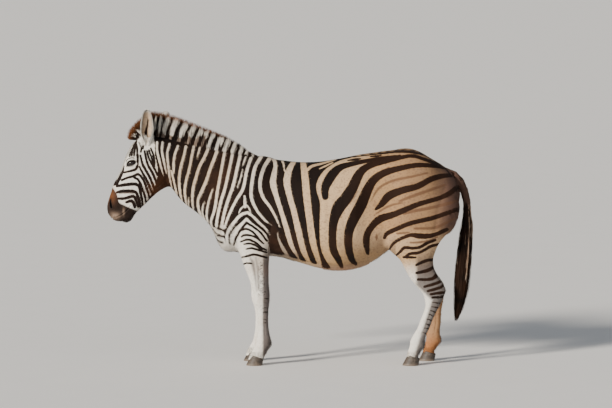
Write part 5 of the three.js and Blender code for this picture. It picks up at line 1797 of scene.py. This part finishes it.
def mane_values(lines, share_out, jitter, rusty):
    """Markings of the standing hair, by its place on the plate and how near the tips it is."""
    n, k, _ = lines.shape
    x, z = plate(lines.reshape(-1, 3))
    x = x + np.repeat(jitter, k) * 0.34
    z = z + np.repeat(np.sin(jitter * 9), k) * 0.9
    light = most(x, z, MANE_LIGHT).reshape(n, k) + 0.15
    shaded_feet = most(x, z, MANE_SHADED_FEET).reshape(n, k)
    ends = share_out + 0.05 * np.sin(jitter * 7)[:, None]
    dark_tips = step(ends, 0.84, 0.93) * step(-x, 34, 46).reshape(n, k)
    tips = np.maximum(dark_tips, rusty * step(share_out, 0.5, 0.85))
    stripe = np.where(np.maximum(light, shaded_feet) > -2, -np.maximum(light, shaded_feet) * 10, 9)
    return {
        "stripe": np.where((tips > 0.3) & (stripe < 6), 6, stripe),
        # Painted shade on the lower parts of the front light locks.
        "shadow": np.where(shaded_feet > light, 8, -15),
        "warm": 0.12,
        "rust": 1.6 * tips,
        "brown": 0.25 + 0.55 * step(share_out, 0.72, 0.95),
        "lie": 1,
        "vary": 0.09 * jitter[:, None],
    }


def per_ring(values, count, k):
    """Numbers per line point become numbers per mesh point: three for each ring and one for the tip."""
    rings = {}
    for key, value in values.items():
        value = np.broadcast_to(value, (count, k))
        rings[key] = np.concatenate([np.repeat(value[:, :-1], 3, 1), value[:, -1:]], 1)
    return rings


def standing_hair(name, rows, count, lean, material, node, rusty=0.0):
    """Upright locks between the rows' roots and tips, leaning back a little, shorter ones among them."""
    rows = np.array(rows, float)
    last = len(rows) - 1
    s = np.clip(np.sort(rng.random(count)) * (last + 0.1) - 0.05, 0, last)
    away = rng.uniform(-1, 1, count)
    at = np.stack([np.interp(s, np.arange(last + 1), rows[:, i]) for i in range(5)], 1)
    ahead = np.clip(s + lean * (0.85 + 0.3 * rng.random(count)), 0, last)
    to = np.stack([np.interp(ahead, np.arange(last + 1), rows[:, i]) for i in (2, 3)], 1)
    crown = np.sqrt(np.maximum(1 - 0.55 * away**2, 0.05))
    is_long = rng.random(count) < 0.7
    reach = crown * np.where(is_long, 1 - 0.05 * rng.random(count), 0.72 + 0.24 * rng.random(count))
    root = np.stack([at[:, 0], away * 13, at[:, 1] - 9], 1)
    tip = np.stack([to[:, 0], away * at[:, 4] * 0.62, to[:, 1] - 2], 1)
    tip = root + (tip - root) * reach[:, None]
    tip[:, 0] += rng.normal(0, 3.5, count)
    tip[:, 1] += rng.normal(0, 2.0, count)
    k = 6
    f = np.linspace(0, 1, k)
    lines = root[:, None] + (tip - root)[:, None] * f[None, :, None]
    bend = rng.normal(0, 2.6, (count, 2))
    lines[:, :, 0] += bend[:, :1] * np.sin(f * math.pi)
    lines[:, :, 1] += (bend[:, 1:] + away[:, None] * 7) * np.sin(f * math.pi) * 0.8
    turn = rng.uniform(0, math.pi, count)
    side = np.stack([np.cos(turn), np.sin(turn), np.zeros(count)], 1)
    width = (1.35 + 0.9 * rng.random(count))[:, None] * np.array([0.9, 1.0, 0.9, 0.75, 0.5])[None]
    jitter = rng.normal(0, 1, count)
    share_out = reach[:, None] * f[None]
    outer = np.clip(1.6 - s * 0.25 + 0.4 * np.abs(away), 0, 1)
    values = per_ring(mane_values(lines, share_out, jitter, rusty * outer[:, None]), count, k)
    uv, long_ = strips(count)
    out = unit(np.stack([np.zeros(count), np.sign(away) * (0.35 + np.abs(away)), np.full(count, 0.25)], 1))
    shade = unit(out + 0.35 * rng.normal(0, 1, (count, 3)))
    piece = spikes(name, lines, side, width, values, uv, shade, depth=0.9, uv_long=long_)
    dress(piece, "mane", material, node)


# The tail's long hair: along, up, and half its length and width at each level.
TASSEL = np.array([
    (1117, 958, 24, 24), (1119, 880, 36, 29), (1107, 760, 41, 33), (1093, 600, 45, 36), (1080, 450, 42, 34),
    (1062, 330, 26, 24), (1046, 256, 7, 7),
], float)


def make_tassel(material):
    count, k = 2600, 10
    top = 1035 - 150 * rng.random(count) ** 1.3
    bottom = 262 + 360 * rng.random(count) ** 1.6
    turn = rng.uniform(0, 2 * math.pi, count)
    out = np.sqrt(rng.random(count))
    out *= np.where(rng.random(count) < 0.07, 1.22, 1.0)
    f = np.linspace(0, 1, k)[None]
    z = top[:, None] + (bottom - top)[:, None] * f
    x, half, wide = (np.interp(-z, -TASSEL[:, 1], TASSEL[:, i]) for i in (0, 2, 3))
    x = x - 3 * step(z, 950, 1035)
    spread = 0.96 * out[:, None] * np.clip(f * 4, 0.85, 1)
    dx = half * spread * np.cos(turn)[:, None]
    dy = wide * spread * np.sin(turn)[:, None]
    wave = 1.6 * np.sin(f * 9 + rng.uniform(0, 6, count)[:, None])
    lines = np.stack([x + dx + wave, dy + wave * 0.6, z], -1)
    side = np.stack([np.sin(turn), -np.cos(turn), np.zeros(count)], 1)
    width = (1.3 + 0.9 * rng.random(count))[:, None] * np.linspace(1, 0.55, k - 1)
    rear = (np.cos(turn) > 0.35) * (out > 0.5)
    pale_hair = (rng.random(count) < 0.03 + 0.55 * rear * (top > 900)).astype(float)
    jitter = rng.normal(0, 1, count)
    until = rng.uniform(0.12, 0.62, count)[:, None]
    light = pale_hair[:, None] * (1 - step(f - until, 0, 0.25))
    values = {
        "stripe": 8 - 14 * light,
        "shadow": 10 * light - 12,
        "warm": 0.6 * light,
        "grey_and_shade": 0.30 * light,
        "rust": 0.25 * light,
        "brown": 0.35 + 0.35 * step(f, 0.5, 1),
        "lie": 1,
        "vary": 0.12 * jitter[:, None],
    }
    uv, long_ = strips(count)
    out = np.stack([np.cos(turn), np.sin(turn), np.zeros(count)], 1)
    shade = unit(out + 0.3 * rng.normal(0, 1, (count, 3)))
    values = per_ring(values, count, k)
    piece = spikes("tail_hair", lines, side, width, values, uv, shade, depth=0.8, uv_long=long_)
    dress(piece, "tail_hair", material, "tail_tassel")


# ---------- Ears ----------
# An ear: name, the foot, the tip, and the way its cup opens.
EARS = [
    ("ear_left", (-897, -62, 1402), (-895, -112, 1613), (-0.22, -0.97, 0.05)),
    ("ear_right", (-886, 62, 1404), (-772, 84, 1590), (-0.25, 0.95, 0.2)),
]
EAR_WIDTH, EAR_DEPTH, EAR_WALL = 43, 30, 5
# Its hair: the part, how many, length, depth of the wall where it grows, lift.
EAR_HAIR = [("cup", 1500, 17, EAR_WALL, 2.0), ("rim", 1500, 8, 0.0, 0.8), ("back", 2600, 8, 0.0, 0.5)]


def ear_frame(base, tip, opens):
    """An ear's foot, the directions up it, out of its cup and across, and its length."""
    foot = np.array(base, float)
    run = np.array(tip, float) - foot
    up = unit(run)
    front = unit(np.array(opens) - np.dot(opens, up) * up)
    return foot, up, front, np.cross(up, front), np.linalg.norm(run) - 2


def ear_point(ear, s, turn, wall):
    """Points of an ear: s runs up it, turn from rim to rim round its back, wall is their depth inside it."""
    foot, up, front, across, length = ear
    share = np.clip(s, 0, 1)
    leaf = np.sin(math.pi * (0.2 + 0.8 * share) ** 1.12) ** (0.8 - 0.45 * share)
    half = np.maximum(EAR_WIDTH * leaf, 2.2) - 1
    deep = EAR_DEPTH * leaf + 1
    angle = turn * (2.7 - 0.95 * np.minimum(share * 2.2, 1))
    thick = np.minimum(wall, half * 0.4)
    curl = 3.0 * np.abs(turn) ** 6 * (1 - s)
    aside = (half - thick) * np.sin(angle)
    ahead = curl - (deep - thick) * np.cos(angle)
    return foot + up * (s * length)[..., None] + across * aside[..., None] + front * ahead[..., None]


def ear_uv(turn, s):
    return np.stack([(turn + 1) / 4 * 0.96 + 0.02, s * 0.85 + 0.09], 1)


def make_ear_leaf(name, ear, material):
    """The solid leaf: its outer face, its inner face, and the edge that joins them."""
    around, high, fine = 30, 30, 8
    levels = np.concatenate([np.linspace(-0.08, 0.9, high - fine), np.linspace(0.92, 0.995, fine)])
    s, t = np.meshgrid(levels, np.linspace(-1, 1, around), indexing="ij")
    inner = ear_point(ear, s, t, EAR_WALL * (1 - 0.75 * np.abs(t) ** 8))[:, ::-1]
    points = np.concatenate([ear_point(ear, s, t, 0.0), inner], 1).reshape(-1, 3)
    n = 2 * around
    tris = ring_net(high, n)
    for first, order in ((0, -1), ((high - 1) * n, 1)):
        for i in range(around - 1):
            a, b = first + i, first + i + 1
            c, d = first + n - 1 - i, first + n - 2 - i
            tris += [(a, b, d)[::order], (a, d, c)[::order]]
    tris = np.array(tris)
    corners = points[tris]
    volume = np.einsum("ij,ij->i", corners[:, 0], np.cross(corners[:, 1], corners[:, 2])).sum()
    if volume < 0:
        tris = tris[:, ::-1]
    both_s = np.concatenate([s, s], 1).ravel()
    both_t = np.concatenate([t, t[:, ::-1]], 1).ravel()
    inside = np.concatenate([0 * s, 0 * s + 1], 1).ravel()
    uv = ear_uv(np.concatenate([t, 2 + t], 1).ravel(), both_s)[tris.ravel()]
    leaf = finish_mesh("leaf_" + name, points, tris, ear_values(both_s, both_t, inside), uv)
    dress(leaf, "coat", material, name)


def make_ear_hair(name, ear, part, count, size, wall, lift, material):
    """Hair in the cup of an ear, along its rim or over its back."""
    foot, axis, front, across, length = ear
    s = rng.uniform(0.03, 0.97, count)
    if part == "cup":
        t = rng.uniform(-0.95, 0.95, count)
    elif part == "rim":
        t = np.sign(rng.uniform(-1, 1, count)) * rng.uniform(0.93, 1.0, count)
    else:
        t = rng.uniform(-0.97, 0.97, count)
    root = ear_point(ear, s, t, wall)
    up = unit(ear_point(ear, np.minimum(s + 0.02, 0.99), t, wall) - root)
    onward = ear_point(ear, s, np.clip(t + 0.02, -1, 1.02), wall) - root
    normal = unit(np.cross(onward, up))
    away = unit(root - (foot + axis * (s * length)[:, None]))
    normal *= np.sign((normal * away).sum(1) + 1e-9)[:, None]
    stray = rng.normal(0, 1, (count, 3))
    size = size * (0.6 + 0.6 * rng.random(count))
    if part == "cup":
        normal = -normal
        centre = unit(front * 0.8 - across * np.sign(t)[:, None] * 0.6)
        d = unit(up * 0.8 + centre * 0.55 + 0.2 * stray)
        size = size * (0.45 + 0.8 * np.abs(t))
    elif part == "rim":
        d = unit(up + front * 0.35 + away * 0.2 + 0.15 * stray)
    else:
        d = unit(up + 0.1 * stray)
    reach = d * size[:, None]
    lines = [root - normal * 0.4, root + reach * 0.5 + normal * lift * 0.8, root + reach + normal * lift]
    side = unit(np.cross(normal, d))
    values = ear_values(s, t, np.full(count, float(part == "cup")))
    values["vary"] = rng.normal(0, 0.14, count)
    uv = ear_uv(2 - t if part == "cup" else t, s)
    shade = unit(normal + 0.15 * rng.normal(0, 1, (count, 3)))
    widths = np.broadcast_to([0.5, 0.375], (count, 2))
    piece = spikes(f"hair_{name}_{part}", np.stack(lines, 1), side, widths, values, uv, shade, depth=0.5)
    dress(piece, "coat", material)


def make_ears(material, tuft_material):
    for name, base, tip, opens in EARS:
        ear = ear_frame(base, tip, opens)
        make_ear_leaf(name, ear, material)
        for part, count, size, wall, lift in EAR_HAIR:
            make_ear_hair(name, ear, part, count, size, wall, lift, tuft_material)


def make_ear_foot_hair(material):
    """Long white hair that spreads from the front of each ear's foot over the temple."""
    count = 420
    for name, base, _, _ in EARS:
        sign = -1 if base[1] < 0 else 1
        off = [rng.normal(-26, 9, count), sign * rng.uniform(8, 26, count), rng.normal(14, 13, count)]
        where, n = settle(np.array(base, float) + np.stack(off, 1), 6)
        aim = np.array([-0.35, sign * 0.25, 0.9]) + 0.38 * rng.normal(0, 1, (count, 3))
        d = unit(aim - np.minimum((aim * n).sum(1), 0)[:, None] * n)
        size = rng.uniform(18, 42, count)[:, None]
        lift = n * size * 0.12
        lines = np.stack([where - n * 0.5, where + d * size * 0.5 + lift, where + d * size + lift * 1.3], 1)
        side = unit(np.cross(n, d))
        width = np.broadcast_to([0.75, 0.55], (count, 2))
        values = ear_values(np.zeros(count), np.ones(count), np.zeros(count))
        values["vary"] = rng.normal(0, 0.12, count)
        shade = unit(n + 0.2 * rng.normal(0, 1, (count, 3)))
        piece = spikes(f"hair_{name}_foot", lines, side, width, values, uv_of(where) - UV_HALF, shade)
        dress(piece, "coat", material)


def ear_values(s, t, inside):
    """The ear's colours: white rim and tip, tan cup with a dark hollow, and a black and white back."""
    edge = step(np.abs(t), 0.66, 0.8)
    white_tip = step(s, 0.86, 0.94)
    hollow = 5.5 * hump(t + 0.12 + 0.1 * np.sin(s * 7), 0.14) - 3.4
    hollow += 2.0 * (1 - step(s, 0.15, 0.5)) - 4 * step(s, 0.62, 0.8)
    back = np.where(s < 0.5, 2.5 * np.sin(s * 26 + 3 * np.abs(t)), 5 - 30 * np.abs(s - 0.66))
    stripe = np.where(inside > 0.5, hollow, back)
    cup = inside * (1 - edge)
    return {
        "stripe": np.where((edge > 0.4) | (white_tip > 0.5), -3 - 2 * edge, stripe),
        "shadow": -15,
        "warm": cup * 0.62 * (1 - white_tip),
        "grey_and_shade": cup * 0.10,
        "rust": cup * 0.03,
        "brown": 0.35 * inside,
        "lie": 1,
    }


# ---------- Lashes ----------
def make_lashes(material):
    count = 90
    for name, sign in (("left", -1), ("right", 1)):
        a = rng.uniform(-0.9, 0.9, count) * LID_HALF
        share = a / LID_HALF
        b = LID_RISE * (1 - share**2) ** 0.8 + 0.6
        c = np.sqrt(LID_REACH**2 - a**2 - b**2) - 0.8
        nose, up, out = np.stack([EYE_NOSE, EYE_UP, EYE_OUT]) * [1, sign, 1]
        root = EYE_AT * [1, sign, 1] + np.stack([a, b, c], 1) @ np.stack([nose, up, out])
        spread = share[:, None] * nose
        size = rng.uniform(8, 13, count)[:, None]
        mid = root + (out * 0.8 - up * 0.15 + spread * 0.4) * size * 0.55
        tip = root + (out * 0.95 - up * 0.25 + spread * 0.5) * size
        side = unit(np.cross(tip - root, up))
        uv, _ = strips(count)
        values = {"stripe": 9, "shadow": -15}
        width = np.full((count, 2), 0.32)
        piece = spikes("lashes_" + name, np.stack([root, mid, tip], 1), side, width, values, uv)
        dress(piece, "coat", material)


# ---------- Floor and light ----------
def make_studio():
    mesh = bpy.data.meshes.new("floor")
    half = 260.0
    corners = [(-half, -half, 0), (half, -half, 0), (half, half, 0), (-half, half, 0)]
    mesh.from_pydata(corners, [], [(0, 1, 2, 3)])
    floor = bpy.data.objects.new("floor", mesh)
    bpy.context.scene.collection.objects.link(floor)
    m = Nodes("floor_paper")
    grain = m.noise(3.0, 3, m.place())
    colour = m.mix(grain, (0.89, 0.88, 0.86), (0.93, 0.92, 0.90))
    floor.data.materials.append(m.done(colour, 0.9, Specular_IOR_Level=0.1))
    world = bpy.data.worlds.new("studio")
    bpy.context.scene.world = world
    world.use_nodes = True
    background = world.node_tree.nodes["Background"]
    background.inputs[0].default_value = (0.86, 0.92, 1.0, 1)
    background.inputs[1].default_value = 0.27
    for name, toward, softness, power, colour in (
        ("key", (0.74, 0.72, -0.40), 10, 5.8, (1.0, 0.93, 0.83)),
        ("fill", (-0.5, 0.75, -0.4), 60, 0.25, (0.88, 0.92, 1.0)),
    ):
        data = bpy.data.lights.new(name, "SUN")
        data.angle = math.radians(softness)
        data.energy = power
        data.color = colour
        light = bpy.data.objects.new(name, data)
        bpy.context.scene.collection.objects.link(light)
        light.rotation_euler = Vector(toward).to_track_quat("-Z", "Y").to_euler()


# ---------- Putting it together ----------
make_camera()
make_studio()
skin_points, skin_normals, skin_tris = make_skin()
make_eyes()
make_hooves()
hair_material = coat_material("long_hair", False)
make_coat(skin_points, skin_normals, skin_tris)
standing_hair("mane_hair", MANE, 6200, 0.62, hair_material, "mane")
standing_hair("forelock_hair", FORELOCK, 1900, 0.25, hair_material, "forelock", 0.75)
make_tassel(hair_material)
make_ears(coat_material("ear_skin", True), hair_material)
make_lashes(hair_material)
make_ear_foot_hair(hair_material)
